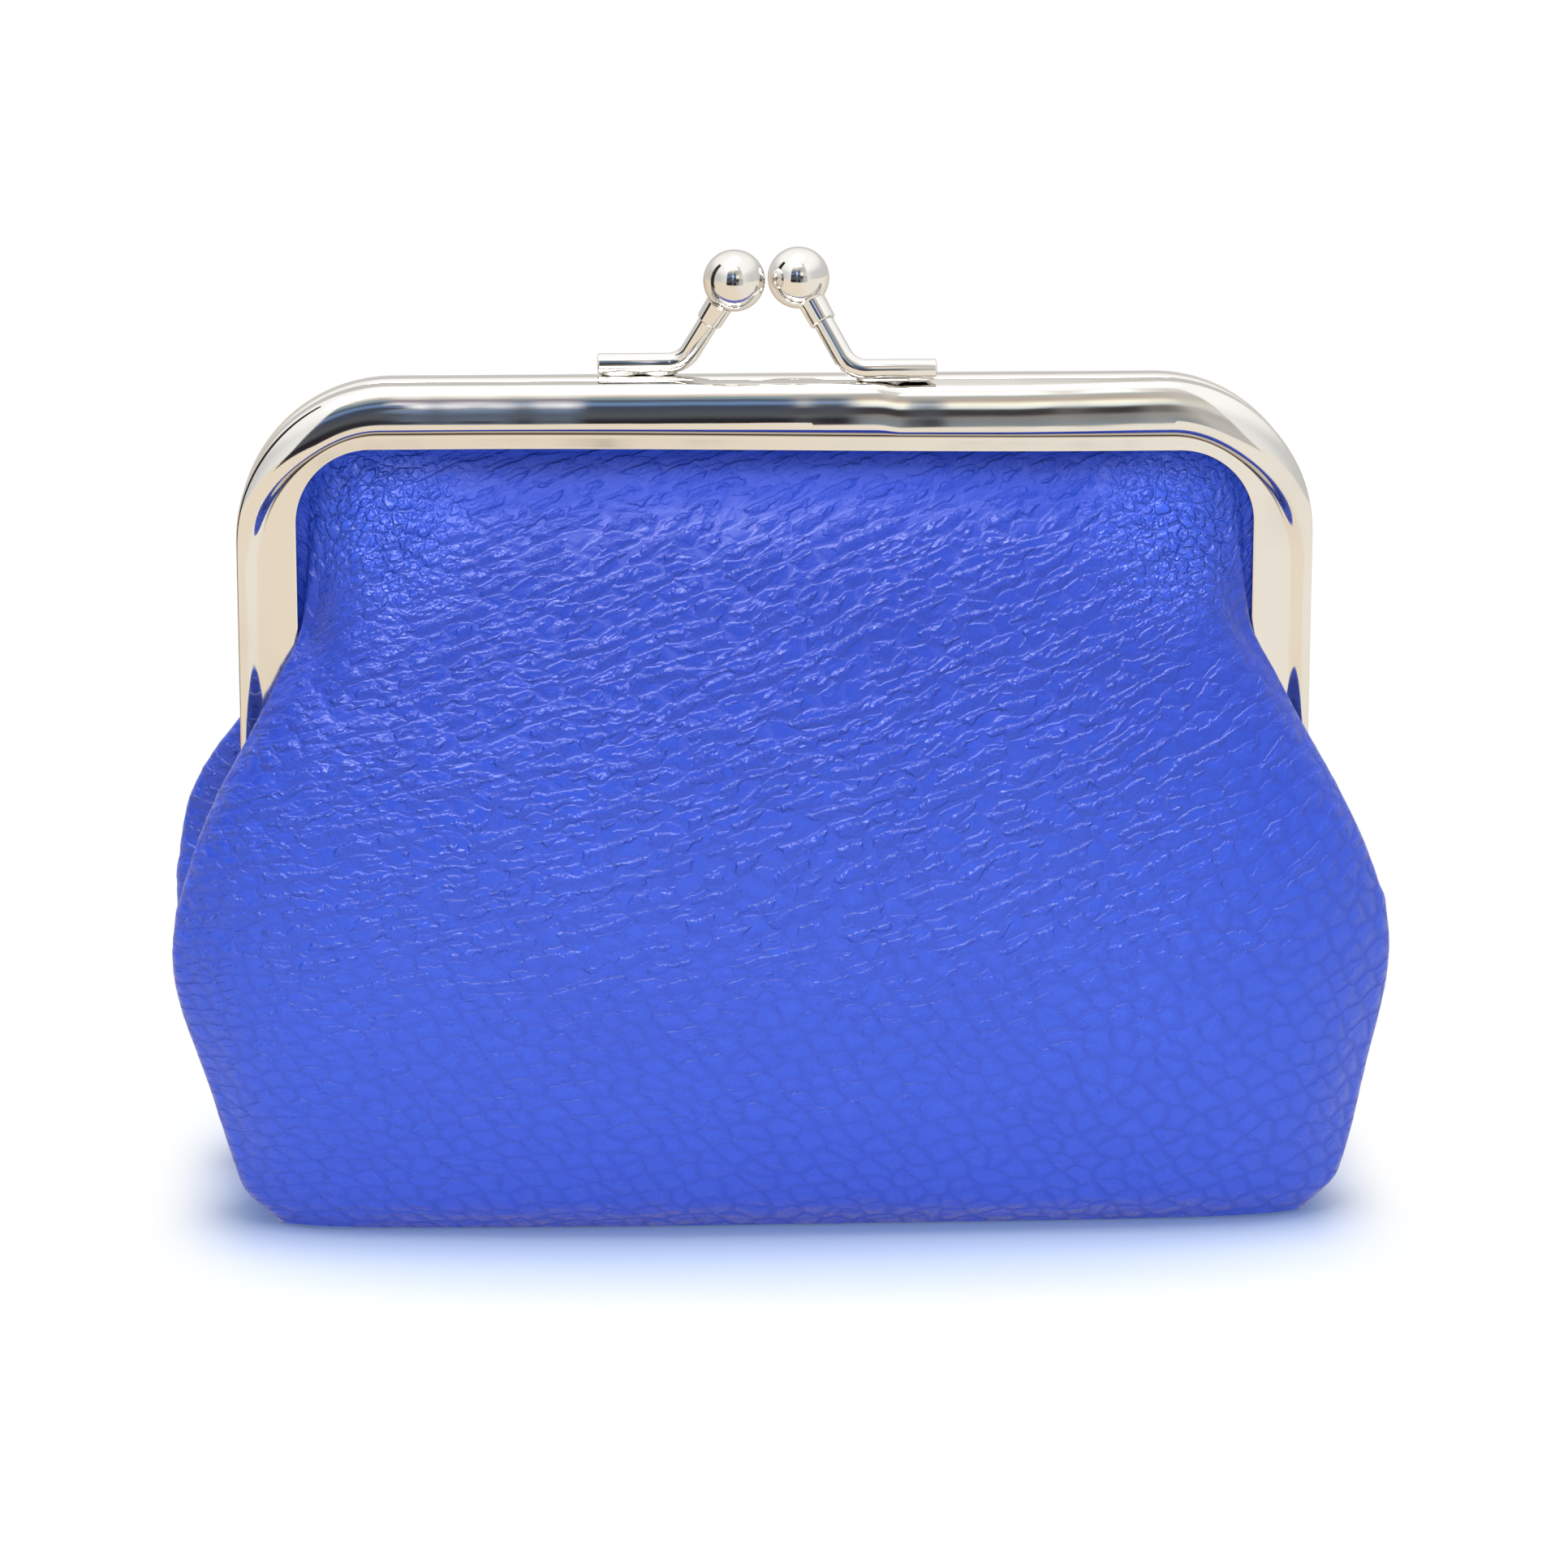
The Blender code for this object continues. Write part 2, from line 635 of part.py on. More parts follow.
def lower_column(point_at, column, bottom, rows):
    """One column of a lower panel, from the base up to the hinge line."""
    top = HINGE_HEIGHT - SPLIT_GAP / 2
    points = []
    for row in range(rows + 1):
        share = row / rows
        z = bottom + (top - bottom) * (share + share**ROW_CROWDING) / 2
        x, y = point_at(column, z)
        points.append((x, y, z))
    return points


def panel(name, columns, facing, thickness, material, parent):
    """A whole panel: the half section's columns, mirrored about the middle, with a wall."""
    right = [[(x, facing * y, z) for x, y, z in column] for column in columns]
    left = [[(-x, y, z) for x, y, z in column] for column in right[:-1]]
    sheet = lofted_sheet(name, left + right[::-1])
    solidify(sheet, thickness, 0, False)
    place(sheet, material, parent)


def base_plate(name, thickness, bottom, gap, material):
    """The flat base inside the lower panels' bottom edges."""
    quarter = []
    for column in LEATHER_COLUMNS:
        x, y = leather_point(column, hem_height)
        quarter.append((x * (1 - gap / hypot(x, y)), y * (1 - gap / (BASE_DEPTH / 2))))
    back = [(-x, y) for x, y in quarter[-2::-1]]
    half = quarter + back
    outline = half + [(-x, -y) for x, y in half]
    plate = flat_outline(name, outline, thickness)
    plate.location = (0, 0, bottom + thickness / 2)
    place(as_mesh(plate), material, None)


def side_stitching(name, side):
    """The thread that closes a side seam, from the base to just under the hinge."""
    bottom = FOOT_HEIGHT
    top = HINGE_HEIGHT - EAR_RADIUS - STITCHING_SHORTER
    path = []
    for step in range(THREAD_STEPS + 1):
        z = bottom + (top - bottom) * step / THREAD_STEPS
        x, _ = leather_point(0, z)
        path.append((side * x, 0, z))
    place(wire(name, path, THREAD_RADIUS, 1), thread, None)


clear_scene()
purse = new_collection("kiss_lock_coin_purse")
cutters = new_collection("cutters")
nickel = principled("nickel_plate", (0.78, 0.75, 0.70), 1.0, 0.16)
hide = principled("blue_leather", (0.064, 0.117, 0.694), 0.0, 0.45)
cloth = principled("lining_cloth", (0.02, 0.03, 0.12), 0.0, 0.8)
paper = principled("kraft_paper", (0.55, 0.42, 0.27), 0.0, 0.9)
thread = principled("blue_thread", (0.03, 0.05, 0.35), 0.0, 0.7)

stations = leather_stations()
slopes = station_slopes()

for half, facing, ear_outer in (("front", FRONT, front_ear_outer), ("rear", REAR, rear_ear_outer)):
    hinge = hinge_empty(f"{half}_hinge_axis")
    frame_half(f"{half}_frame", facing, ear_outer, hinge)
    clasp_arm(f"{half}_clasp_arm", facing, hinge)
    clasp_ball(f"{half}_clasp_ball", facing, hinge)
    paper_cord(f"{half}_paper_cord", facing, hinge)
    columns = [upper_column(leather_point, c, leather_depth, UPPER_ROWS) for c in LEATHER_COLUMNS]
    panel(f"{half}_leather_upper", columns, facing, LEATHER, hide, hinge)
    columns = [upper_column(lining_point, c, lining_depth, UPPER_ROWS) for c in LINING_COLUMNS]
    panel(f"{half}_lining_upper", columns, facing, LINING, cloth, hinge)
    columns = [lower_column(leather_point, c, hem_height, LOWER_ROWS) for c in LEATHER_COLUMNS]
    panel(f"{half}_leather_lower", columns, facing, LEATHER, hide, None)
    columns = [lower_column(lining_point, c, lining_hem, LOWER_ROWS) for c in LINING_COLUMNS]
    panel(f"{half}_lining_lower", columns, facing, LINING, cloth, None)

base_plate("base_leather", LEATHER, 0, fold_clear, hide)
base_plate("base_lining", LINING, LEATHER + LAYER_GAP, fold_clear + LINING_INSET, cloth)

for side, label in ((-1, "left"), (1, "right")):
    hinge_rivet(f"{label}_hinge_rivet", side)
    side_stitching(f"{label}_side_stitching", side)
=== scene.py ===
import json
import math

import bmesh
import bpy
import numpy as np
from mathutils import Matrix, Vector


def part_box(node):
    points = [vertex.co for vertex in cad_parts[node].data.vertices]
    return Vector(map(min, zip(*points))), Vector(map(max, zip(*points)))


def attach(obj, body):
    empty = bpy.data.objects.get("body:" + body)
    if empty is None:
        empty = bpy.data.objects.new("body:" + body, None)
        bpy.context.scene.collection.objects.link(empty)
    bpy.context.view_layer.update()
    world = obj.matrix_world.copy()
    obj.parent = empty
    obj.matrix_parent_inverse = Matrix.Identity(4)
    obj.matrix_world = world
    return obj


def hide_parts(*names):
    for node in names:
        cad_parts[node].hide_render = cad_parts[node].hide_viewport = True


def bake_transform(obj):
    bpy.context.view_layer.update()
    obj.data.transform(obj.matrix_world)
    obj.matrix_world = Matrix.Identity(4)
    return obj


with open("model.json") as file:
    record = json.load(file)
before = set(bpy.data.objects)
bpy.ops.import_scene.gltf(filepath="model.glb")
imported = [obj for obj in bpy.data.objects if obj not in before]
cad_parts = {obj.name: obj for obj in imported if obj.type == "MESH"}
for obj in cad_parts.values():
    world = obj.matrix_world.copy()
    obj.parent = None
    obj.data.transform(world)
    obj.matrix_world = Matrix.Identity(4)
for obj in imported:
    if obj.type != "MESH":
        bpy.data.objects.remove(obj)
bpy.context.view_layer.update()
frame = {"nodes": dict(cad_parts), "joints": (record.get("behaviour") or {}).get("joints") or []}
print("frame loaded")

# What the whole purse is measured from
hinge = frame["joints"][0]
purse = {
    "halfWidth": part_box("front_frame")[1].x,
    "top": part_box("front_frame")[1].z,
    "hingeHeight": hinge["pos_m"][2],
    "leather": 0.0008,
    "lining": 0.0003,
    "sheet": 0.0004,
    "gap": 0.00025,
    "halvesGap": 0.0003,
    "earLength": 0.0049,
}
halfWidth, frameTop, hingeHeight = purse["halfWidth"], purse["top"], purse["hingeHeight"]
channelEnd = hingeHeight + purse["earLength"]
seamFace = purse["halvesGap"] / 2
liningDepth = seamFace + purse["sheet"] + purse["gap"] + purse["lining"] / 2
leatherDepth = liningDepth + purse["lining"] / 2 + purse["gap"] + purse["leather"] / 2
flangeFace = leatherDepth + purse["leather"] / 2 + purse["gap"] + purse["sheet"]
foldClear = purse["leather"] / 2 + purse["gap"]
millimetre = 0.001
uvSpan = 160 * millimetre  # one UV unit


# Short ways to work as by hand

def nothingSelected():
    if bpy.context.object and bpy.context.object.mode != "OBJECT":
        bpy.ops.object.mode_set(mode="OBJECT")
    bpy.ops.object.select_all(action="DESELECT")


def workOn(*pieces):
    nothingSelected()
    for piece in pieces:
        piece.select_set(True)
    bpy.context.view_layer.objects.active = pieces[0]


def made(add, name, **settings):
    # a new primitive, lamp or camera under its own name
    nothingSelected()
    add(**settings)
    piece = bpy.context.object
    piece.name = name
    piece.data.name = name
    return piece


def editMode(piece, kind="FACE"):
    workOn(piece)
    bpy.ops.object.mode_set(mode="EDIT")
    bpy.ops.mesh.select_mode(type=kind)
    bpy.ops.mesh.select_all(action="DESELECT")
    return bmesh.from_edit_mesh(piece.data)


def pick(piece, items):
    for item in items:
        item.select_set(True)
    bmesh.update_edit_mesh(piece.data)


def applied(piece, kind, **settings):
    workOn(piece)
    change = piece.modifiers.new(kind.lower(), kind)
    for key, value in settings.items():
        setattr(change, key, value)
    bpy.ops.object.modifier_apply(modifier=change.name)


def placeKept(piece):
    workOn(piece)
    bpy.ops.object.transform_apply(location=True, rotation=True, scale=True)


def smooth(piece, degrees=40):
    workOn(piece)
    bpy.ops.object.shade_smooth_by_angle(angle=math.radians(degrees))


def gridSheet(name, places, maps):
    # a grid primitive, its vertices drawn to their places row by row, and its UV maps in step
    rows, columns = places.shape[:2]
    piece = made(bpy.ops.mesh.primitive_grid_add, name, x_subdivisions=columns - 1, y_subdivisions=rows - 1,
                 size=0.1)
    mesh = piece.data
    mesh.vertices.foreach_set("co", places.reshape(-1).astype(np.float32))
    corner = np.empty(len(mesh.loops), np.int32)
    mesh.loops.foreach_get("vertex_index", corner)
    for layer in list(mesh.uv_layers):
        mesh.uv_layers.remove(layer)
    for label, values in maps.items():
        layer = mesh.uv_layers.new(name=label)
        layer.data.foreach_set("uv", values.reshape(-1, 2)[corner].reshape(-1).astype(np.float32))
    mesh.update()
    return piece


def softStep(value, low, high):
    share = np.clip((value - low) / (high - low), 0, 1)
    return share * share * (3 - 2 * share)


# Short ways to add nodes: an input takes a number, a colour or another node's output

def filled(tree, node, inputs):
    pairs = inputs.items() if isinstance(inputs, dict) else enumerate(inputs)
    for key, value in pairs:
        if isinstance(value, bpy.types.NodeSocket):
            tree.links.new(value, node.inputs[key])
        elif value is not None:
            node.inputs[key].default_value = value
    return node


def added(tree, kind, inputs=(), **settings):
    node = tree.nodes.new(kind)
    for key, value in settings.items():
        setattr(node, key, value)
    return filled(tree, node, inputs)


def addMath(tree, operation, *values, clamp=False):
    return added(tree, "ShaderNodeMath", values, operation=operation, use_clamp=clamp).outputs[0]


def times(tree, product, *others):
    for other in others:
        product = addMath(tree, "MULTIPLY", product, other)
    return product


def vectorMath(tree, operation, *values):
    return added(tree, "ShaderNodeVectorMath", values, operation=operation).outputs[0]


def scaled(tree, vector, by):
    return vectorMath(tree, "MULTIPLY", vector, by)


def ramped(tree, value, low, high, outLow=0.0, outHigh=1.0):
    inputs = (value, low, high, outLow, outHigh)
    return added(tree, "ShaderNodeMapRange", inputs, interpolation_type="SMOOTHSTEP").outputs[0]


def mixed(tree, share, first, second):
    return added(tree, "ShaderNodeMix", {0: share, 2: first, 3: second}, data_type="FLOAT").outputs[0]


def colourMix(tree, share, first, second, **settings):
    first, second = ((*value, 1) if isinstance(value, tuple) else value for value in (first, second))
    inputs = {0: share, 6: first, 7: second}
    return added(tree, "ShaderNodeMix", inputs, data_type="RGBA", **settings).outputs[2]


def separated(tree, vector):
    return list(added(tree, "ShaderNodeSeparateXYZ", (vector,)).outputs)


def combined(tree, x, y):
    return added(tree, "ShaderNodeCombineXYZ", (x, y)).outputs[0]


def objectPlace(tree):
    return tree.nodes.new("ShaderNodeTexCoord").outputs["Object"]


def noise(tree, vector, scale, detail, **more):
    inputs = {"Vector": vector, "Scale": scale, "Detail": detail, **more}
    return added(tree, "ShaderNodeTexNoise", inputs).outputs


def emptyMaterial(name, colour, roughness, metallic=0.0):
    material = bpy.data.materials.new(name)
    material.use_nodes = True
    tree = material.node_tree
    look = {"Base Color": (*colour, 1), "Roughness": roughness, "Metallic": metallic}
    return material, tree, filled(tree, tree.nodes["Principled BSDF"], look)


def shown(tree, node):
    tree.links.new(node.outputs[0], tree.nodes["Material Output"].inputs["Surface"])


# Camera and stage
view = {
    "side": -2.5,
    "down": 12.5,
    "distance": 0.5,
    "target": (0, 0, 0.042),
    "aim": (0.0008, 0, 0.0381),
    "focal": 124.4,
}


def addCamera():
    side, down = math.radians(view["side"]), math.radians(view["down"])
    back = Vector((math.sin(side) * math.cos(down), -math.cos(side) * math.cos(down), math.sin(down)))
    place = Vector(view["target"]) + back * view["distance"]
    look = Vector(view["aim"]) - place
    turn = look.to_track_quat("-Z", "Y").to_euler()
    camera = made(bpy.ops.object.camera_add, "photoCamera", location=place, rotation=turn)
    camera.data.lens = view["focal"]
    camera.data.clip_start = 0.01
    bpy.context.scene.camera = camera


stage = {
    "floorSize": 8,
    "floorColour": (0.86, 0.82, 0.72),
    "floorRoughness": 0.9,
    "floorSeen": 0.86,
    "floorGlow": (0.07, 0.12, 0.27),
    "mirroredLeft": (0.97, 0.86, 0.71),
    "mirroredRight": (1.0, 0.95, 0.86),
    "mirrorRange": (-0.02, 0.08),  # across the floor, in metres
    # painted shade on the paper close to the purse: the ambient occlusion's reach, its range and the shade's
    # colour
    "contactReach": 0.03,
    "contactRange": (0.55, 1.0),
    "contactShade": (0.56, 0.66, 0.84),
    "fadeBeside": 0.041,
    "fadeAcross": 20,
    "fadeRange": (0.13, 0.36),
    "worldLight": 0.44,
    "sideShade": 0.5,
    "sideRange": (0.35, 0.95),
    "lowRange": (0.3, 0.9),
    "skyGloss": 0.35,
    "skyRange": (0.3, 0.6),
}


def whiteRays(tree):
    # 1 for camera, mirror and see-through rays
    rays = tree.nodes.new("ShaderNodeLightPath").outputs
    first = addMath(tree, "MAXIMUM", rays["Is Camera Ray"], rays["Is Glossy Ray"])
    return addMath(tree, "MAXIMUM", first, rays["Is Transmission Ray"])


def addFloor():
    # pale paper near the purse, with painted shade close to it from ambient occlusion; pure white further off
    # and in mirrors
    floor = made(bpy.ops.mesh.primitive_plane_add, "floor", size=stage["floorSize"])
    pale = stage["floorColour"]
    material, tree, shader = emptyMaterial("paleFloor", pale, stage["floorRoughness"])
    rays = tree.nodes.new("ShaderNodeLightPath").outputs
    paper = colourMix(tree, rays["Is Camera Ray"], pale, tuple(value * stage["floorSeen"] for value in pale))
    # painted shade: ambient occlusion darkens the paper's colour towards contactShade close to the purse
    contact = added(tree, "ShaderNodeAmbientOcclusion", {"Distance": stage["contactReach"]}).outputs["AO"]
    near = ramped(tree, contact, *stage["contactRange"], 1.0, 0.0)
    paintedShade = colourMix(tree, near, (1, 1, 1), stage["contactShade"])
    filled(tree, shader, {
        "Base Color": colourMix(tree, 1, paper, paintedShade, blend_type="MULTIPLY"),
        "Specular IOR Level": 0.0,
        "Emission Color": (*stage["floorGlow"], 1),
        "Emission Strength": whiteRays(tree),
    })
    x, y, _ = separated(tree, objectPlace(tree))
    turn = ramped(tree, x, *stage["mirrorRange"])
    warm = colourMix(tree, turn, stage["mirroredLeft"], stage["mirroredRight"])
    white = added(tree, "ShaderNodeEmission", (colourMix(tree, rays["Is Glossy Ray"], (1, 1, 1), warm),))
    beside = addMath(tree, "SUBTRACT", addMath(tree, "ABSOLUTE", x), stage["fadeBeside"])
    across = times(tree, addMath(tree, "MAXIMUM", beside, 0.0), stage["fadeAcross"])
    away = added(tree, "ShaderNodeVectorMath", (combined(tree, across, y),), operation="LENGTH")
    far = ramped(tree, away.outputs["Value"], *stage["fadeRange"])
    share = addMath(tree, "MAXIMUM", times(tree, far, rays["Is Camera Ray"]), rays["Is Glossy Ray"])
    shown(tree, added(tree, "ShaderNodeMixShader", (share, shader.outputs[0], white.outputs[0])))
    floor.data.materials.append(material)


def addWorld():
    # soft light all round; mirrors see it darker towards the sides
    world = bpy.data.worlds.new("paleRoom")
    bpy.context.scene.world = world
    world.use_nodes = True
    tree = world.node_tree
    x, _, z = separated(tree, tree.nodes.new("ShaderNodeTexCoord").outputs["Generated"])
    glossy = tree.nodes.new("ShaderNodeLightPath").outputs["Is Glossy Ray"]
    side = ramped(tree, addMath(tree, "ABSOLUTE", x), *stage["sideRange"])
    low = ramped(tree, z, *stage["lowRange"], 1.0, 0.0)
    white = addMath(tree, "SUBTRACT", whiteRays(tree), times(tree, side, low, stage["sideShade"], glossy))
    sky = times(tree, ramped(tree, z, *stage["skyRange"]), glossy)
    white = addMath(tree, "MULTIPLY_ADD", sky, stage["skyGloss"], white)
    spread = addMath(tree, "MULTIPLY_ADD", white, 1 - stage["worldLight"], stage["worldLight"])
    filled(tree, tree.nodes["Background"], {"Color": (1, 1, 1, 1), "Strength": spread})


softboxes = {
    "keySoftbox": {"size": 0.34, "place": (-0.16, -0.16, 0.66), "power": 0.5},
    "sheenSoftbox": {"size": 0.34, "place": (-0.15, -0.31, 0.60), "power": 3.9, "visible_diffuse": False},
    "topSoftbox": {"size": 0.42, "place": (0.0, -0.01, 0.85), "power": 6.4},
    "fillSoftbox": {"size": 0.5, "place": (0.0, -0.8, 0.10), "power": 3.0, "visible_glossy": False},
}


def addSoftbox(name, size, place, power, **rays):
    turn = (Vector(view["target"]) - Vector(place)).to_track_quat("-Z", "Y").to_euler()
    lamp = made(bpy.ops.object.light_add, name, type="AREA", location=place, rotation=turn)
    lamp.data.shape = "DISK"
    lamp.data.size = size
    lamp.data.energy = power
    for key, value in rays.items():
        setattr(lamp, key, value)


# What only mirrors see: steps of colour by height, as shares of the card's own height
cards = {
    "dimRoom": {"size": (0.30, 0.49), "place": (0.0, -0.25, 0.280), "turn": 0},
    "sideCard": {"size": (0.06, 0.30), "place": (-0.19, 0.0, 0.152), "turn": -math.pi / 2},
}
room = {
    "start": 0.041,
    "clutterScale": 14.0,
    "clutter": 0.08,
    "windowLeft": (-0.060, -0.045),
    "windowRight": (-0.030, -0.016),
    "windowGaps": (0.38, 0.50),
    "warmFrom": (0.018, 0.032),
    "farFrom": (0.054, 0.085),
    "farShare": 0.8,
    "cool": (
        (0.0, (0.03, 0.02, 0.02)), (0.06, (0.02, 0.02, 0.03)), (0.12, (0.10, 0.11, 0.12)),
        (0.25, (0.06, 0.075, 0.12)), (0.31, (0.18, 0.30, 0.55)), (0.38, (0.09, 0.12, 0.18)),
        (0.46, (0.30, 0.40, 0.45)), (0.56, (0.80, 0.70, 0.60)), (0.75, (1.4, 1.4, 1.4))),
    "window": (
        (0.0, (0.20, 0.24, 0.30)), (0.14, (0.12, 0.15, 0.22)), (0.20, (0.20, 0.28, 0.45)),
        (0.29, (1.3, 1.3, 1.3)), (0.43, (0.35, 0.28, 0.35)), (0.54, (0.9, 0.9, 0.85)),
        (0.80, (1.4, 1.4, 1.4))),
    "warm": (
        (0.0, (0.25, 0.30, 0.34)), (0.11, (0.28, 0.28, 0.28)), (0.145, (0.06, 0.05, 0.05)),
        (0.20, (0.05, 0.05, 0.06)), (0.25, (1.0, 1.1, 1.1)), (0.30, (1.3, 1.25, 1.05)),
        (0.42, (0.60, 0.50, 0.42)), (0.55, (0.50, 0.52, 0.52)), (0.72, (1.4, 1.4, 1.4))),
    "farRight": (0.68, 0.66, 0.62),
    "side": (0.03, 0.022, 0.018),
    "sideLow": (1.0, 0.50, 0.45),
    "sideRange": (0.011, 0.017),
}


def addCard(name, size, place, turn):
    card = made(bpy.ops.mesh.primitive_plane_add, name, size=1, location=place,
                rotation=(math.pi / 2, 0, turn))
    card.scale = (*size, 1)
    placeKept(card)
    for ray in ("camera", "diffuse", "shadow", "transmission", "volume_scatter"):
        setattr(card, "visible_" + ray, False)
    material = bpy.data.materials.new(name)
    material.use_nodes = True
    card.data.materials.append(material)
    return card, material.node_tree


def glowing(tree, colour):
    shown(tree, added(tree, "ShaderNodeEmission", (colour,)))


def stepsOf(tree, place, steps):
    node = added(tree, "ShaderNodeValToRGB", (place,))
    ramp = node.color_ramp
    ramp.interpolation = "EASE"
    for height, _ in steps[1:-1]:
        ramp.elements.new(height)
    for element, (height, shade) in zip(ramp.elements, steps):
        element.position = height
        element.color = (*shade, 1)
    return node.outputs["Color"]


def addDimRoom():
    # the dim room behind the camera: cool on the left, with windows, and warmer on the right
    card, tree = addCard("dimRoom", **cards["dimRoom"])
    place = objectPlace(tree)
    x, _, z = separated(tree, place)
    clutter = noise(tree, place, room["clutterScale"], 3.0)[0]
    tall = cards["dimRoom"]["size"][1]
    foot = cards["dimRoom"]["place"][2] - tall / 2 + room["start"] * tall
    height = times(tree, addMath(tree, "SUBTRACT", z, foot), 1 / tall)
    height = addMath(tree, "MULTIPLY_ADD", clutter, room["clutter"], height)
    cool, bright, warm = (stepsOf(tree, height, room[key]) for key in ("cool", "window", "warm"))
    right, left = ramped(tree, x, *room["windowRight"], 1.0, 0.0), ramped(tree, x, *room["windowLeft"])
    window = times(tree, right, left, ramped(tree, clutter, *room["windowGaps"]))
    colour = colourMix(tree, window, cool, bright)
    colour = colourMix(tree, ramped(tree, x, *room["warmFrom"]), colour, warm)
    far = ramped(tree, x, *room["farFrom"], 0.0, room["farShare"])
    glowing(tree, colourMix(tree, far, colour, room["farRight"]))


def addSideCard():
    card, tree = addCard("sideCard", **cards["sideCard"])
    high = ramped(tree, separated(tree, objectPlace(tree))[2], *room["sideRange"])
    glowing(tree, colourMix(tree, high, room["sideLow"], room["side"]))


addCamera()
addFloor()
addWorld()
for name, values in softboxes.items():
    addSoftbox(name, **values)
addDimRoom()
addSideCard()
bpy.context.scene.view_settings.view_transform = "Standard"
print("camera, floor and lights set")


# The bag's section, from the side seam or the channel to the middle of the panel, at each height
bag = {
    "tuck": 0.0026,
    "channelLeg": 0.0054,
    "channelTop": 0.0059,
    "beadProud": 0.0017,
    "outerCorner": 0.0142,
    "innerCorner": 0.0068,
    "lipClearance": 0.0003,
    "earClearance": 0.0012,
    "earRadius": 0.0026,
    "rivetTail": 0.00255,
    "seamSpread": 0.0015,
    "hemLift": 0.00005,
    "baseWidth": 0.0945,
    "baseDepth": 0.0284,
    "footHeight": 0.0036,
    "footWidth": 0.0992,
    "footDepth": 0.0328,
    "bellyHeight": 0.025,
    "bellyWidth": 0.1088,
    "bellyDepth": 0.038,
    "hingeDepth": 0.0356,
    "hingeOverhang": 0.0043,
    "crossingHeight": 0.0542,
    "crossingDepth": 0.020,
    "topDepth": 0.0130,
    "lipSoftness": 0.0038,
    "slopeLimit": 1.3,
    "freeOver": 0.001,  # the stretch below the channel in which the sheet comes free
}
hemHeight = purse["leather"] / 2 + bag["hemLift"]
lipX = halfWidth - bag["channelLeg"]
lipTop = frameTop - bag["channelTop"]


def shares(width, depth, *pairs):
    return [(width * across, depth * out) for across, out in pairs]


def sectionTable():
    # shares of the bag's own width and depth; beside the metal, multiples of its clearances
    edge = (halfWidth - bag["tuck"], leatherDepth)
    lip = lipX - foldClear - bag["lipClearance"]
    beside = halfWidth - bag["rivetTail"] - foldClear - bag["earClearance"]
    seam = bag["seamSpread"] / 2
    base, foot, belly = bag["baseWidth"] / 2, bag["footWidth"] / 2, bag["bellyWidth"] / 2
    baseY, footY, bellyY = bag["baseDepth"] / 2, bag["footDepth"] / 2, bag["bellyDepth"] / 2
    bulge, bulgeY = halfWidth + bag["hingeOverhang"], bag["hingeDepth"] / 2
    crossY, topY = bag["crossingDepth"] / 2, bag["topDepth"] / 2
    deep = flangeFace + bag["beadProud"] + foldClear
    ear = bag["earRadius"]
    under = hingeHeight - ear
    rise = bag["crossingHeight"] - channelEnd
    return [
        (hemHeight, [(base * 0.996, seam)] + shares(
            base, baseY, (1, 0.211), (0.998, 0.549), (0.964, 0.88), (0.73, 0.98), (0, 1))),
        (bag["footHeight"], [(foot * 0.972, seam)] + shares(
            foot, footY, (0.986, 0.183), (0.998, 0.427), (0.988, 0.72), (0.73, 0.962), (0, 1))),
        (bag["bellyHeight"] / 2, [(belly * 0.89, seam)] + shares(
            belly, bellyY, (0.917, 0.147), (0.945, 0.326), (0.952, 0.568), (0.73, 0.898), (0, 0.978))),
        (bag["bellyHeight"], [(belly * 0.886, seam)] + shares(
            belly, bellyY, (0.934, 0.126), (0.982, 0.274), (1, 0.516), (0.74, 0.89), (0, 1))),
        (under - ear * 1.15, [
            (beside + ear * 0.85, seam), (beside + ear * 1.77, bulgeY * 0.129)] + shares(
            bulge, bulgeY, (0.976, 0.27), (1.019, 0.517), (0.755, 0.934), (0, 1.054))),
        (under - ear * 0.35, [
            (beside, seam * 1.27), (beside + ear * 0.38, bulgeY * 0.169)] + shares(
            bulge, bulgeY, (0.917, 0.281), (1.011, 0.511), (0.755, 0.92), (0, 1.04))),
        (hingeHeight, [
            (beside, seam * 1.53), (beside - ear * 0.23, bulgeY * 0.18),
            (beside + ear * 0.77, deep + ear * 0.12), (bulge * 0.991, bulgeY * 0.494),
            (bulge * 0.75, bulgeY * 0.888), (0, bulgeY * 1.01)]),
        (channelEnd, [
            edge, (lip, leatherDepth), (lip, flangeFace + foldClear * 2.15),
            (halfWidth * 1.035, deep + foldClear * 4.3), (halfWidth * 0.8, bulgeY * 0.828),
            (0, bulgeY * 0.952)]),
        (channelEnd + rise * 0.37, [
            edge, (lip, leatherDepth), (lip, flangeFace + foldClear * 1.85),
            (halfWidth * 0.969, deep + foldClear * 3.4), (halfWidth * 0.765, crossY * 1.32),
            (0, crossY * 1.524)]),
        (channelEnd + rise * 0.68, [
            edge, (lip, leatherDepth), (lip, flangeFace + foldClear * 1.23),
            (lipX + foldClear * 1.85, deep + foldClear * 1.85), (halfWidth * 0.735, crossY * 1.15),
            (0, crossY * 1.344)]),
        (bag["crossingHeight"], [
            edge, (lip, leatherDepth), (lip - foldClear * 0.3, flangeFace + foldClear * 0.3),
            (lip - foldClear * 0.9, flangeFace + foldClear * 3.1), (halfWidth * 0.7, crossY * 0.99),
            (0, crossY * 1.16)]),
        (lipTop, [
            edge, (lip, leatherDepth), (lip - foldClear * 2.15, leatherDepth + foldClear * 1.54),
            (lip - foldClear * 5.5, leatherDepth + foldClear * 3.7), (halfWidth * 0.62, topY * 0.88),
            (0, topY)]),
    ]


table = sectionTable()
tableHeights = np.array([height for height, _ in table])
tablePoints = np.array([points for _, points in table])
lastPoint = tablePoints.shape[1] - 1


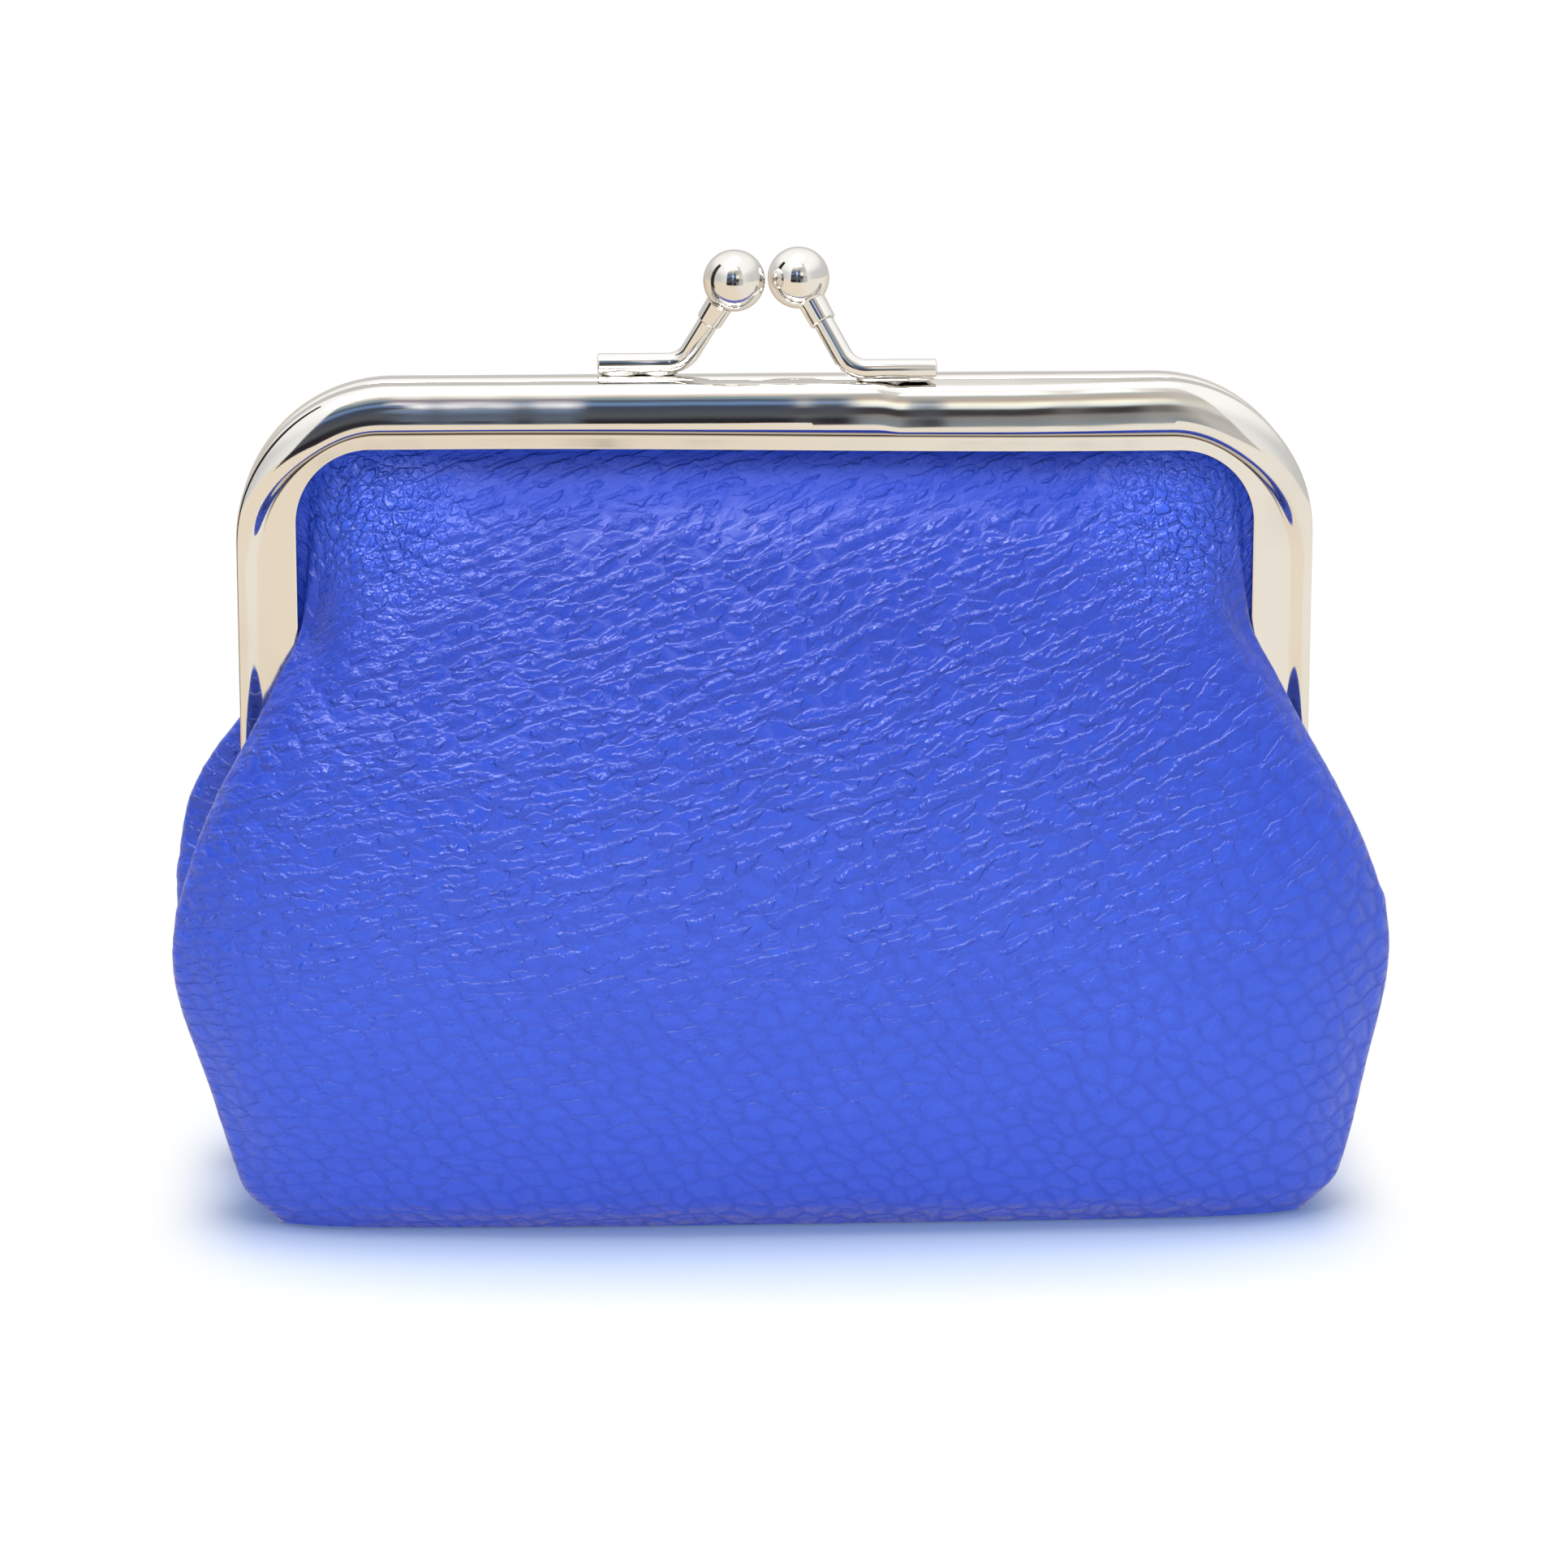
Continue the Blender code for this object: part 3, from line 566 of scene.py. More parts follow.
def easySlopes(knots, values):
    # the slope at each knot, from the knots on both sides, held near the gentler one
    steps = np.diff(knots)[:, None, None]
    rates = np.diff(values, axis=0) / steps
    before, after = steps[:-1], steps[1:]
    middle = (rates[:-1] * after + rates[1:] * before) / (before + after)
    limit = bag["slopeLimit"] * np.minimum(np.abs(rates[:-1]), np.abs(rates[1:]))
    middle = np.where(rates[:-1] * rates[1:] > 0, np.clip(middle, -limit, limit), middle)
    return np.concatenate([rates[:1], middle, rates[-1:]])


tableSlopes = easySlopes(tableHeights, tablePoints)


def sectionAt(heights):
    # the six control points at any array of heights
    index = np.clip(np.searchsorted(tableHeights, heights, side="right") - 1, 0, len(table) - 2)
    step = (tableHeights[index + 1] - tableHeights[index])
    share = np.clip((heights - tableHeights[index]) / step, 0, 1)[..., None, None]
    step = step[..., None, None]
    return (
        (1 + 2 * share) * (1 - share) ** 2 * tablePoints[index]
        + share * (1 - share) ** 2 * step * tableSlopes[index]
        + share**2 * (3 - 2 * share) * tablePoints[index + 1]
        + share**2 * (share - 1) * step * tableSlopes[index + 1]
    )


def panelPoint(position, heights):
    # positions run from 0 at the seam to 5 at the middle of the panel; one per column
    points = sectionAt(heights)
    mirrored = points[..., -2:-1, :] * np.array([-1, 1])
    first = 2 * points[..., :1, :] - points[..., 1:2, :]
    chain = np.concatenate([first, points, mirrored], axis=-2)
    index = np.clip(position.astype(int), 0, lastPoint - 1)
    share = (position - index)[None, :, None]
    columns = np.arange(len(position))
    a, b, c, d = (chain[:, columns, index + k, :] for k in range(4))
    return 0.5 * (
        2 * b + (c - a) * share + (2 * a - 5 * b + 4 * c - d) * share**2
        + (3 * b - a - 3 * c + d) * share**3
    )


def cornerRadius(inset):
    share = inset / bag["channelTop"]
    return bag["outerCorner"] + (bag["innerCorner"] - bag["outerCorner"]) * share


def outlineTop(x, inset):
    radius = cornerRadius(inset)
    beyond = np.maximum(x - (halfWidth - inset - radius), 0)
    return frameTop - inset - radius + np.sqrt(np.maximum(radius**2 - beyond**2, 0))


def halfPanel(positions, rows, tuckedDepth, drawnIn):
    # x, y and z of half a panel: rows from the hem up into the channel, columns from seam to middle
    level = np.full((1, len(positions)), lipTop)
    topX = drawnIn(positions, level)[0, :, 0]
    top = outlineTop(topX, bag["tuck"])
    lip = np.where(topX < lipX, outlineTop(topX, bag["channelTop"]), top) - foldClear
    heights = hemHeight + (top - hemHeight)[None, :] * rows[:, None]
    places = drawnIn(positions, np.minimum(heights, lipTop))
    fullness = 1 - np.exp(-np.maximum(lip[None, :] - heights, 0) / bag["lipSoftness"])
    free = softStep(heights, channelEnd - bag["freeOver"], channelEnd)
    depth = places[..., 1]
    depth = depth + (tuckedDepth + (depth - tuckedDepth) * fullness - depth) * free
    return np.stack([places[..., 0], depth, heights], axis=-1)


linings = {
    "inset": 0.0017,
    "edgeInset": 0.0010,
    "normalStep": 0.5,
    "easeFrom": 0.75,  # in columns' positions, from the edge's inset to the full one
    "easeOver": 0.7,
    "spacing": 0.001,
    "lowest": 0.02,
    "rows": 80,
}


def liningLine(positions, heights):
    step = linings["normalStep"]
    behind = panelPoint(np.maximum(positions - step, 0), heights)
    ahead = panelPoint(np.minimum(positions + step, lastPoint - 0.0001), heights)
    here = panelPoint(positions, heights)
    run = ahead - behind
    length = np.maximum(np.linalg.norm(run, axis=-1), 1e-6)
    edge = np.where(heights >= channelEnd, leatherDepth - liningDepth, linings["edgeInset"])
    ease = np.clip((positions - linings["easeFrom"]) / linings["easeOver"], 0, 1)
    away = edge + (linings["inset"] - edge) * ease[None, :]
    return np.stack([here[..., 0] - away * run[..., 1] / length,
                     here[..., 1] + away * run[..., 0] / length], axis=-1)


def spanPositions(spacing):
    # column positions from the seam to the middle, about as far apart as the spacing
    spans = (3.4, 4.1, 8.8, 16.0, 39.0)
    positions = []
    for index, span in enumerate(spans):
        count = max(2, round(span * millimetre / spacing))
        positions += [index + step / count for step in range(count)]
    return np.array(positions + [lastPoint - 0.00001])


def wholePanel(half):
    # the half and its mirror image, from the left seam to the right one
    left = half * np.array([-1, 1, 1])
    return np.concatenate([left, half[:, -2::-1]], axis=1)


def arcLengths(places):
    # millimetres along each row from the middle, and up each column from the hem
    across = np.linalg.norm(np.diff(places, axis=1), axis=-1)
    across = np.concatenate([np.zeros((len(places), 1)), np.cumsum(across, axis=1)], axis=1)
    middle = places.shape[1] // 2
    across = across - across[:, middle:middle + 1]
    up = np.linalg.norm(np.diff(places, axis=0), axis=-1)
    up = np.concatenate([np.zeros((1, places.shape[1])), np.cumsum(up, axis=0)], axis=0)
    return across / millimetre, up / millimetre


skin = {
    "spacing": 0.00053,
    "rows": 160,
    "seamTurns": ((0.0003, 0.00044), (0.0012, 0.00042)),  # how far in, and how far from the seam's plane
    "seamRange": (-0.003, 0.002),  # about the hinge's height
    "raised": 0.5,  # how much of the grain is in the mesh
    "crumpleSpread": 1.1,
    "wrinkleSlope": 0.28,
    "wrinkleTurn": 0.0012,
    "wrinkleFan": 0.004,
    "fanHeight": 38,
    "turnPlace": -10,
    "footLean": 0.0011,
    "bellyLean": 0.0004,
    "footRange": (0.025, 0.004),
    "leanRange": (0.026, 0.042),
    "freeRange": (0.0405, 0.0425),
    "rearSwell": 0.0018,
    "swellHeight": 0.037,
    "swellReach": 0.008,
    "swellSide": (0.030, 0.047),
    "swellOut": (0.004, 0.0085),
}


def turnedSeam(places):
    # two more columns at each side, turned into the seam below the hinge and along the channel above
    low = 1 - softStep(places[:, 0, 2] - hingeHeight, *skin["seamRange"])
    edges = []
    for inward, closeTo in skin["seamTurns"]:
        edge = places[:, 0].copy()
        edge[:, 0] += low * inward - (1 - low) * inward * 0.3
        edge[:, 1] = edge[:, 1] * (1 - low) + closeTo * low
        edges.insert(0, edge[:, None])
    right = [edge * np.array([-1, 1, 1]) for edge in edges[::-1]]
    return np.concatenate(edges + [places] + right, axis=1)


def flowMap(across, up):
    # coordinates whose second value is constant along the wrinkles' run
    turned = skin["wrinkleTurn"] * (across - skin["turnPlace"]) ** 2
    fanned = skin["wrinkleFan"] * (up - skin["fanHeight"]) * across
    flow = up - skin["wrinkleSlope"] * across - turned - fanned
    return np.stack([across, flow], axis=-1) * millimetre / uvSpan


def bump(places, x, z, reach):
    # a soft hill, 1 at its top
    away = ((places[..., 0] - x) ** 2 + (places[..., 2] - z) ** 2) / reach**2
    return np.exp(-away)


# Stars of folds in the top corners: x, z, reach, height and arms; and soft waves: x, z, reach and height
crumples = (
    (-0.0366, 0.0640, 0.0062, 0.00020, 9),
    (0.0368, 0.0624, 0.0060, 0.00016, 7),
)
leftValley = {"x": -0.0418, "z": 0.0575, "wide": 0.0018, "tall": 0.009, "deep": 0.0011}
frontWaves = (
    (-0.020, 0.030, 0.022, 0.0005),
    (0.026, 0.034, 0.016, -0.0004),
    (0.040, 0.020, 0.012, 0.0003),
    (-0.034, 0.012, 0.014, -0.0004),
    (0.004, 0.052, 0.016, 0.0003),
)


def handledFront(places):
    # the lean, hollows and crumples that the photographed front has
    x, z = places[..., 0], places[..., 2]
    lean = skin["bellyLean"] + (skin["footLean"] - skin["bellyLean"]) * softStep(z, *skin["footRange"])
    places[..., 0] += lean * (1 - softStep(z, *skin["leanRange"]))
    for hillX, hillZ, reach, height in frontWaves:
        places[..., 1] += height * bump(places, hillX, hillZ, reach)
    free = 1 - softStep(np.abs(x), *skin["freeRange"])
    for starX, starZ, reach, height, arms in crumples:
        angle = np.arctan2(z - starZ, x - starX)
        distance = np.hypot(z - starZ, x - starX)
        folds = np.sin(arms * angle + 3 * np.sin(2 * angle + 1))
        folds = folds * np.exp(-((distance / reach - 0.6) / 0.55) ** 2)
        places[..., 1] += height * (folds + 0.8 * bump(places, starX, starZ, reach * 0.35)) * free
    wide, tall = (x - leftValley["x"]) / leftValley["wide"], (z - leftValley["z"]) / leftValley["tall"]
    places[..., 1] -= leftValley["deep"] * np.exp(-(wide**2) - tall**4)
    return places


def handledRear(places):
    # the rear panel's left lobe shows past the front one
    x, z = places[..., 0], places[..., 2]
    swell = np.exp(-(((z - skin["swellHeight"]) / skin["swellReach"]) ** 2))
    side = softStep(-x, *skin["swellSide"]) * softStep(places[..., 1], *skin["swellOut"])
    places[..., 0] -= skin["rearSwell"] * swell * side
    return places


def panelSheet(name, half, facing, handled, turned):
    # a panel's mid surface, with its maps in millimetres over the skin and along the wrinkles
    places = wholePanel(half)
    if turned:
        places = turnedSeam(places)
    places = handled(places)
    across, up = arcLengths(places)
    maps = {
        "skin": np.stack([across, up], axis=-1) * millimetre / uvSpan,
        "flow": flowMap(across, up),
    }
    crumpled = sum(bump(places, x, z, reach * skin["crumpleSpread"]) for x, z, reach, _, _ in crumples)
    places[..., 1] *= facing
    if facing > 0:
        places, crumpled = places[:, ::-1], crumpled[:, ::-1]
        maps = {key: value[:, ::-1] for key, value in maps.items()}
    sheet = gridSheet(name, places, maps)
    mark = sheet.data.attributes.new("crumpled", "FLOAT", "POINT")
    mark.data.foreach_set("value", np.minimum(crumpled, 1).reshape(-1).astype(np.float32))
    return sheet


# Leather grain: the same nodes raise the mesh and shade it; lengths in millimetres
grain = {
    "row": 1.80,  # between the pebbles' rows
    "long": 2.3,  # along a row
    "shift": 0.5,  # of a pebble, from one row to the next
    "wander": (0.10, 1.1, 1.0),  # a noise's scale, its reach and its detail
    "tremble": (0.50, 0.45, 2.0),
    "shiver": (2.60, 0.20, 2.0),
    "cracks": (1.3, 0.7, 2.0),
    "crackScale": 0.85,
    "crackEdge": 0.36,
    "random": 0.62,
    "upperHalf": (0.05, 0.35),
    "softEdge": 0.42,
    "creaseEdge": 0.26,
    "strength": (0.30, 0.70, 0.45, 1.0),
    "dashScale": (0.36, 0.50, 0),
    "dashRange": (0.44, 0.54),
    "browFrom": 0.45,
    "fewerAside": (22, 44, 1.0, 0.25),
    "fewerBelow": (18, 34, 0.25, 1.0),
    "swellScale": 0.35,
    "strokeLean": 0.7,
    "strokeScale": (2.7, 0.8),
    "strokesApart": 0.3,
    "pebble": 0.070,
    "ridge": 0.125,
    "swell": 0.08,
    "comb": 0.110,
    "crumple": 0.30,
    "meshCrest": 0.62,
    "shadedCrest": 0.88,
}
uvScale = (uvSpan / millimetre, uvSpan / millimetre, 0)


def wandered(tree, vector, scale, reach, detail):
    # the place pushed about by a noise
    colour = noise(tree, vector, scale, detail)["Color"]
    push = vectorMath(tree, "MULTIPLY_ADD", colour, (2 * reach,) * 3, (-reach,) * 3)
    return vectorMath(tree, "ADD", vector, push)


def cells(tree, vector, scale, randomness, feature="F1"):
    inputs = {"Vector": vector, "Scale": scale, "Randomness": randomness}
    return added(tree, "ShaderNodeTexVoronoi", inputs, feature=feature, voronoi_dimensions="2D").outputs


def edgeOf(tree, vector, scale, randomness):
    return cells(tree, vector, scale, randomness, "DISTANCE_TO_EDGE")["Distance"]


def pebbleField(tree, skinMap, flowMap, crumpled, crest):
    # pebbles in rows, each steep at its upper rim and soft below; crest is where a row is highest
    place, flow = scaled(tree, skinMap, uvScale), scaled(tree, flowMap, uvScale)
    for key in ("wander", "tremble", "shiver"):
        flow = wandered(tree, flow, *grain[key])
    along, above, _ = separated(tree, flow)
    row = times(tree, above, 1 / grain["row"])
    column = addMath(tree, "MULTIPLY_ADD", along, 1 / grain["long"], times(tree, row, grain["shift"]))
    lattice = combined(tree, column, row)
    pebbles = cells(tree, lattice, 1.0, grain["random"])
    edge = edgeOf(tree, lattice, 1.0, grain["random"])
    upward = addMath(tree, "SUBTRACT", row, separated(tree, pebbles["Position"])[1])
    soft, steep = ramped(tree, edge, 0.0, grain["softEdge"]), ramped(tree, edge, 0.0, 1.0 - crest)
    pebble = mixed(tree, ramped(tree, upward, *grain["upperHalf"]), soft, steep)
    pebble = times(tree, pebble, ramped(tree, pebbles["Color"], *grain["strength"]))
    rise = addMath(tree, "FRACT", addMath(tree, "ADD", row, 0.5))
    dashes = noise(tree, scaled(tree, flow, grain["dashScale"]), 1.0, 2.0)[0]
    dashed = ramped(tree, dashes, *grain["dashRange"])
    x, y, _ = separated(tree, place)
    ridge = times(tree, ramped(tree, rise, 0.0, crest), ramped(tree, rise, crest, 1.0, 1.0, 0.0), dashed,
                  ramped(tree, x, *grain["fewerAside"]), ramped(tree, y, *grain["fewerBelow"]))
    cracked = wandered(tree, place, *grain["cracks"])
    crinkle = ramped(tree, edgeOf(tree, cracked, grain["crackScale"], 1.0), 0.0, grain["crackEdge"])
    relief = times(tree, pebble, grain["pebble"])
    for part, height in (
        (ridge, grain["ridge"]),
        (noise(tree, place, grain["swellScale"], 1.0)[0], grain["swell"]),
        (times(tree, crinkle, crumpled), grain["crumple"]),
    ):
        relief = addMath(tree, "MULTIPLY_ADD", part, height, relief)
    lean = addMath(tree, "MULTIPLY_ADD", above, grain["strokeLean"], along)
    comb = combined(tree, *(times(tree, value, by) for value, by in zip((lean, above), grain["strokeScale"])))
    strokes = noise(tree, comb, 1.0, 3.0, Roughness=0.65)[0]
    brow = times(tree, ramped(tree, rise, grain["browFrom"], crest), dashed)
    fine = times(tree, strokes, mixed(tree, brow, grain["strokesApart"], 1.0), grain["comb"])
    crease = ramped(tree, edge, 0.0, grain["creaseEdge"], 1.0, 0.0)
    return relief, addMath(tree, "ADD", relief, fine), crease


def uvNode(tree, name):
    return added(tree, "ShaderNodeUVMap", uv_map=name).outputs[0]


def marked(tree, name):
    return added(tree, "ShaderNodeAttribute", attribute_name=name).outputs["Fac"]


def socketGroup(name, kind, inputs, outputs):
    group = bpy.data.node_groups.new(name, kind)
    for side, sockets in (("INPUT", inputs), ("OUTPUT", outputs)):
        for label, socket in sockets.items():
            group.interface.new_socket(name=label, in_out=side, socket_type="NodeSocket" + socket)
    return group, group.nodes.new("NodeGroupInput").outputs, group.nodes.new("NodeGroupOutput")


def grainGroup():
    group, inside, outside = socketGroup(
        "pebbleGrain", "ShaderNodeTree",
        {"Skin": "Vector", "Flow": "Vector", "Crumpled": "Float"}, {"Relief": "Float", "Crease": "Float"})
    maps = [inside[key] for key in ("Skin", "Flow", "Crumpled")]
    _, fine, crease = pebbleField(group, *maps, grain["shadedCrest"])
    filled(group, outside, {"Relief": fine, "Crease": crease})
    return group


def raisedGrain(piece, share):
    # moves the sheet out along its normals by the grain's relief
    group, inside, outside = socketGroup(
        "raiseGrain", "GeometryNodeTree", {"Geometry": "Geometry"}, {"Geometry": "Geometry"})
    maps = [added(group, "GeometryNodeInputNamedAttribute", {"Name": label}, data_type=kind).outputs[0]
            for label, kind in (("skin", "FLOAT_VECTOR"), ("flow", "FLOAT_VECTOR"), ("crumpled", "FLOAT"))]
    height = times(group, pebbleField(group, *maps, grain["meshCrest"])[0], share * millimetre)
    normal = group.nodes.new("GeometryNodeInputNormal").outputs[0]
    along = added(group, "ShaderNodeVectorMath", {0: normal, "Scale": height}, operation="SCALE")
    move = added(group, "GeometryNodeSetPosition", {"Geometry": inside[0], "Offset": along.outputs[0]})
    filled(group, outside, (move.outputs[0],))
    applied(piece, "NODES", node_group=group)


def bumped(tree, shader, height, distance):
    node = added(tree, "ShaderNodeBump", {"Distance": distance, "Height": height})
    tree.links.new(node.outputs["Normal"], shader.inputs["Normal"])


# Millimetres are counted up the skin from the hem, or across it from the middle
leatherLook = {
    "blue": (0.0135, 0.045, 0.435),
    # a paler blue: random patches, painted light on the lower skin and a painted highlight on the crumples
    # all mix towards it
    "faded": (0.036, 0.099, 0.71),
    # the painted shade in the creases between pebbles
    "crease": (0.009, 0.026, 0.29),
    "patchScale": 11.0,
    "patchShare": 0.3,
    "fadeRange": (18, 62, 0.85, 0.0),
    "crumpledFade": 0.9,
    "outlineSide": (18, 44),
    "outline": (0.05, 0.24),
    "roughness": 0.25,
    "creaseRoughness": 0.40,
    "squeezed": 0.55,  # the roughness next to the lip
    "lipRange": (65, 70),
    "gloss": (0.42, 0.18),
    "livelyRange": (44, 62, 1.6, 1.05),
    "livelyLow": 1.25,
}


def leatherMaterial():
    look = leatherLook
    material, tree, shader = emptyMaterial("pebbledLeather", look["blue"], look["roughness"])
    place = uvNode(tree, "skin")
    crumpled = marked(tree, "crumpled")
    inputs = {"Skin": place, "Flow": uvNode(tree, "flow"), "Crumpled": crumpled}
    marks = added(tree, "ShaderNodeGroup", node_tree=grainGroup())
    relief, crease = filled(tree, marks, inputs).outputs
    across, up, _ = separated(tree, scaled(tree, place, uvScale))
    # painted light: the lower skin is mixed towards the paler blue, fading out upwards; noise patches are
    # paler at random
    low = ramped(tree, up, *look["fadeRange"])
    patches = noise(tree, place, look["patchScale"], 2.0)[0]
    share = addMath(tree, "MULTIPLY_ADD", patches, look["patchShare"], low)
    # painted highlight: the crumpled corners are mixed towards the paler blue
    share = addMath(tree, "MULTIPLY_ADD", crumpled, look["crumpledFade"], share, clamp=True)
    colour = colourMix(tree, share, look["blue"], look["faded"])
    # painted shade: the creases are darkened towards the crease colour, more on the lower skin and towards
    # the sides
    outlined = addMath(tree, "ADD", low, ramped(tree, across, *look["outlineSide"]), clamp=True)
    depth = times(tree, crease, mixed(tree, outlined, *look["outline"]))
    rough = ramped(tree, crease, 0, 1, look["roughness"], look["creaseRoughness"])
    lip = ramped(tree, up, *look["lipRange"])
    lip = times(tree, lip, addMath(tree, "SUBTRACT", 1.0, crumpled))
    filled(tree, shader, {
        "Base Color": colourMix(tree, depth, colour, look["crease"]),
        "Roughness": mixed(tree, lip, rough, look["squeezed"]),
        "Specular IOR Level": mixed(tree, lip, *look["gloss"]),
    })
    lively = mixed(tree, low, ramped(tree, up, *look["livelyRange"]), look["livelyLow"])
    bumped(tree, shader, times(tree, relief, lively), millimetre)
    return material


plating = {
    "nickel": (0.81, 0.79, 0.755),
    "dull": (0.72, 0.69, 0.65),
    "edge": (0.62, 0.60, 0.58),
    # painted shade in the fold under the bead
    "grime": (0.10, 0.075, 0.055),
    "roughness": 0.07,
    "scratched": 0.22,
    "grimeRoughness": 0.45,
    "cloudScale": 90.0,
    "cloudRange": (0.45, 0.75, 0.0, 0.5),
    "scratchScale": (260, 2400, 2400),
    "scratchRange": (0.60, 0.75),
    "waveScale": 210.0,
    "waves": 0.00002,
    "grimeRange": (0.55, 0.95),
}


def wearGroup():
    # dull patches and fine scratches for polished plating, on object coordinates
    group, inside, outside = socketGroup(
        "plateWear", "ShaderNodeTree",
        {"Vector": "Vector", "Scratches": "Float"}, {"Dull": "Float", "Waves": "Float"})
    vector = inside["Vector"]
    streaks = noise(group, scaled(group, vector, plating["scratchScale"]), 1.0, 4.0, Roughness=0.7)[0]
    lines = times(group, ramped(group, streaks, *plating["scratchRange"]), inside["Scratches"])
    clouds = ramped(group, noise(group, vector, plating["cloudScale"], 3.0)[0], *plating["cloudRange"])
    filled(group, outside, {
        "Dull": addMath(group, "MAXIMUM", clouds, lines),
        "Waves": noise(group, vector, plating["waveScale"], 1.0)[0],
    })
    return group


wear = wearGroup()


def platedMaterial(name, scratches, waves, folded=False):
    material, tree, shader = emptyMaterial(name, plating["nickel"], plating["roughness"], 1.0)
    marks = added(tree, "ShaderNodeGroup", node_tree=wear)
    dull, ripple = filled(tree, marks, {"Vector": objectPlace(tree), "Scratches": scratches}).outputs
    colour = colourMix(tree, dull, plating["nickel"], plating["dull"])
    rough = ramped(tree, dull, 0, 1, plating["roughness"], plating["scratched"])
    if folded:
        # painted shade: the fold under the bead is darkened to a dark brown, and made rougher
        grime = ramped(tree, marked(tree, "fold"), *plating["grimeRange"])
        colour = colourMix(tree, grime, colour, plating["grime"])
        rough = mixed(tree, grime, rough, plating["grimeRoughness"])
    filled(tree, shader, {"Base Color": colour, "Roughness": rough, "Specular Tint": (*plating["edge"], 1)})
    bumped(tree, shader, ripple, waves)
    return material


def weave(name, colour, dark, pitch, roughness, uvName=None):
    # plain weave: two crossed waves that take turns on top
    material, tree, shader = emptyMaterial(name, colour, roughness)
    place, span = (uvNode(tree, uvName), uvSpan) if uvName else (objectPlace(tree), 1)
    place = scaled(tree, place, (span / pitch,) * 3)
    x, y, _ = separated(tree, place)
    across, up = (addMath(tree, "SINE", times(tree, value, math.pi)) for value in (x, y))
    height = addMath(tree, "ABSOLUTE", times(tree, across, up))
    # painted shade: the hollows between the threads are darker, varied by a noise
    shade = times(tree, height, noise(tree, place, 0.35, 3.0)[0])
    filled(tree, shader, {"Base Color": colourMix(tree, shade, dark, colour)})
    bumped(tree, shader, height, pitch * 0.3)
    return material


def kraftMaterial():
    # twisted paper: slanting plies, with painted shade darkening the grooves between them
    material, tree, shader = emptyMaterial("kraftPaper", (0.50, 0.36, 0.21), 0.9)
    place = scaled(tree, objectPlace(tree), (1, 0.2, 1))
    inputs = {"Vector": place, "Scale": 420.0, "Distortion": 1.5, "Detail": 2.0}
    plies = added(tree, "ShaderNodeTexWave", inputs, bands_direction="DIAGONAL").outputs["Fac"]
    filled(tree, shader, {"Base Color": colourMix(tree, plies, (0.34, 0.23, 0.12), (0.56, 0.42, 0.27))})
    bumped(tree, shader, plies, 0.0001)
    return material


leather = leatherMaterial()
frameNickel = platedMaterial("frameNickel", 0.35, plating["waves"], True)
claspNickel = platedMaterial("claspNickel", 0.6, plating["waves"] * 0.5)
liningCloth = weave("liningCloth", (0.030, 0.034, 0.10), (0.010, 0.012, 0.045), 0.0003, 0.75, "skin")
paper = kraftMaterial()
thread = weave("blueThread", (0.05, 0.09, 0.52), (0.02, 0.04, 0.30), 0.0002, 0.6)
print("materials mixed")


def dressed(piece, material, slot, *nodes):
    piece.data.materials.clear()
    piece.data.materials.append(material)
    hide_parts(*nodes)


def thickened(sheet, thickness):
    applied(sheet, "SOLIDIFY", thickness=thickness, offset=0, use_even_offset=False)
    smooth(sheet, 70)


def leatherPanel(half, facing, handled):
    rows = np.linspace(0, 1, skin["rows"])
    shape = halfPanel(spanPositions(skin["spacing"]), rows, leatherDepth, panelPoint)
    panel = panelSheet(f"{half}_leather", shape, facing, handled, True)
    raisedGrain(panel, skin["raised"])
    thickened(panel, purse["leather"])
    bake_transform(panel)
    dressed(panel, leather, "blue_leather", f"{half}_leather_upper", f"{half}_leather_lower")


def liningPanel(half, facing):
    rows = np.linspace(linings["lowest"], 1, linings["rows"])
    shape = halfPanel(spanPositions(linings["spacing"]), rows, liningDepth, liningLine)
    sheet = panelSheet(f"{half}_lining", shape, facing, lambda places: places, False)
    thickened(sheet, purse["lining"])
    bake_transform(sheet)
    dressed(sheet, liningCloth, "lining_cloth", f"{half}_lining_upper", f"{half}_lining_lower")


base = {
    "spacing": 0.0008,
    "straightFrom": 1.3,  # the first column's position that the base keeps
    "raised": 0.4,
    "leatherEdge": 0.00065,
    "leatherHeight": 0.00046,
    "thinner": 0.85,
    "liningEdge": 0.00235,
    "liningHeight": 0.0012,
}


def baseSheet(name, edge, height):
    # the outline is the panels' hem drawn in by the edge
    positions = spanPositions(base["spacing"])
    positions = positions[positions > base["straightFrom"]]
    hem = panelPoint(positions, np.full((1, len(positions)), hemHeight))[0]
    x = hem[:, 0] * (1 - edge / hem[0, 0])
    y = hem[:, 1] * (1 - edge / hem[-1, 1])
    x, y = np.concatenate([-x, x[-2::-1]]), np.concatenate([y, y[-2::-1]])
    rows = np.linspace(-1, 1, round(bag["baseDepth"] / base["spacing"]))
    flat = np.stack([x[None, :] + 0 * rows[:, None], y[None, :] * rows[:, None]], axis=-1)
    places = np.concatenate([flat, np.full(flat.shape[:2] + (1,), height)], axis=-1)
    return gridSheet(name, places, {"skin": flat / uvSpan, "flow": flat / uvSpan})


def baseWall():
    piece = baseSheet("base_leather_piece", base["leatherEdge"], base["leatherHeight"])
    piece.data.attributes.new("crumpled", "FLOAT", "POINT")
    raisedGrain(piece, base["raised"])
    cloth = baseSheet("base_lining_piece", base["liningEdge"], base["liningHeight"])
    thickened(piece, purse["leather"] * base["thinner"])
    thickened(cloth, purse["lining"])
    for sheet in (piece, cloth):
        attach(sheet, "bag")
    dressed(piece, leather, "blue_leather", "base_leather")
    dressed(cloth, liningCloth, "lining_cloth", "base_lining")


for half, facing, handled in (("front", -1, handledFront), ("rear", 1, handledRear)):
    leatherPanel(half, facing, handled)
    liningPanel(half, facing)
baseWall()
print("leather and lining made")


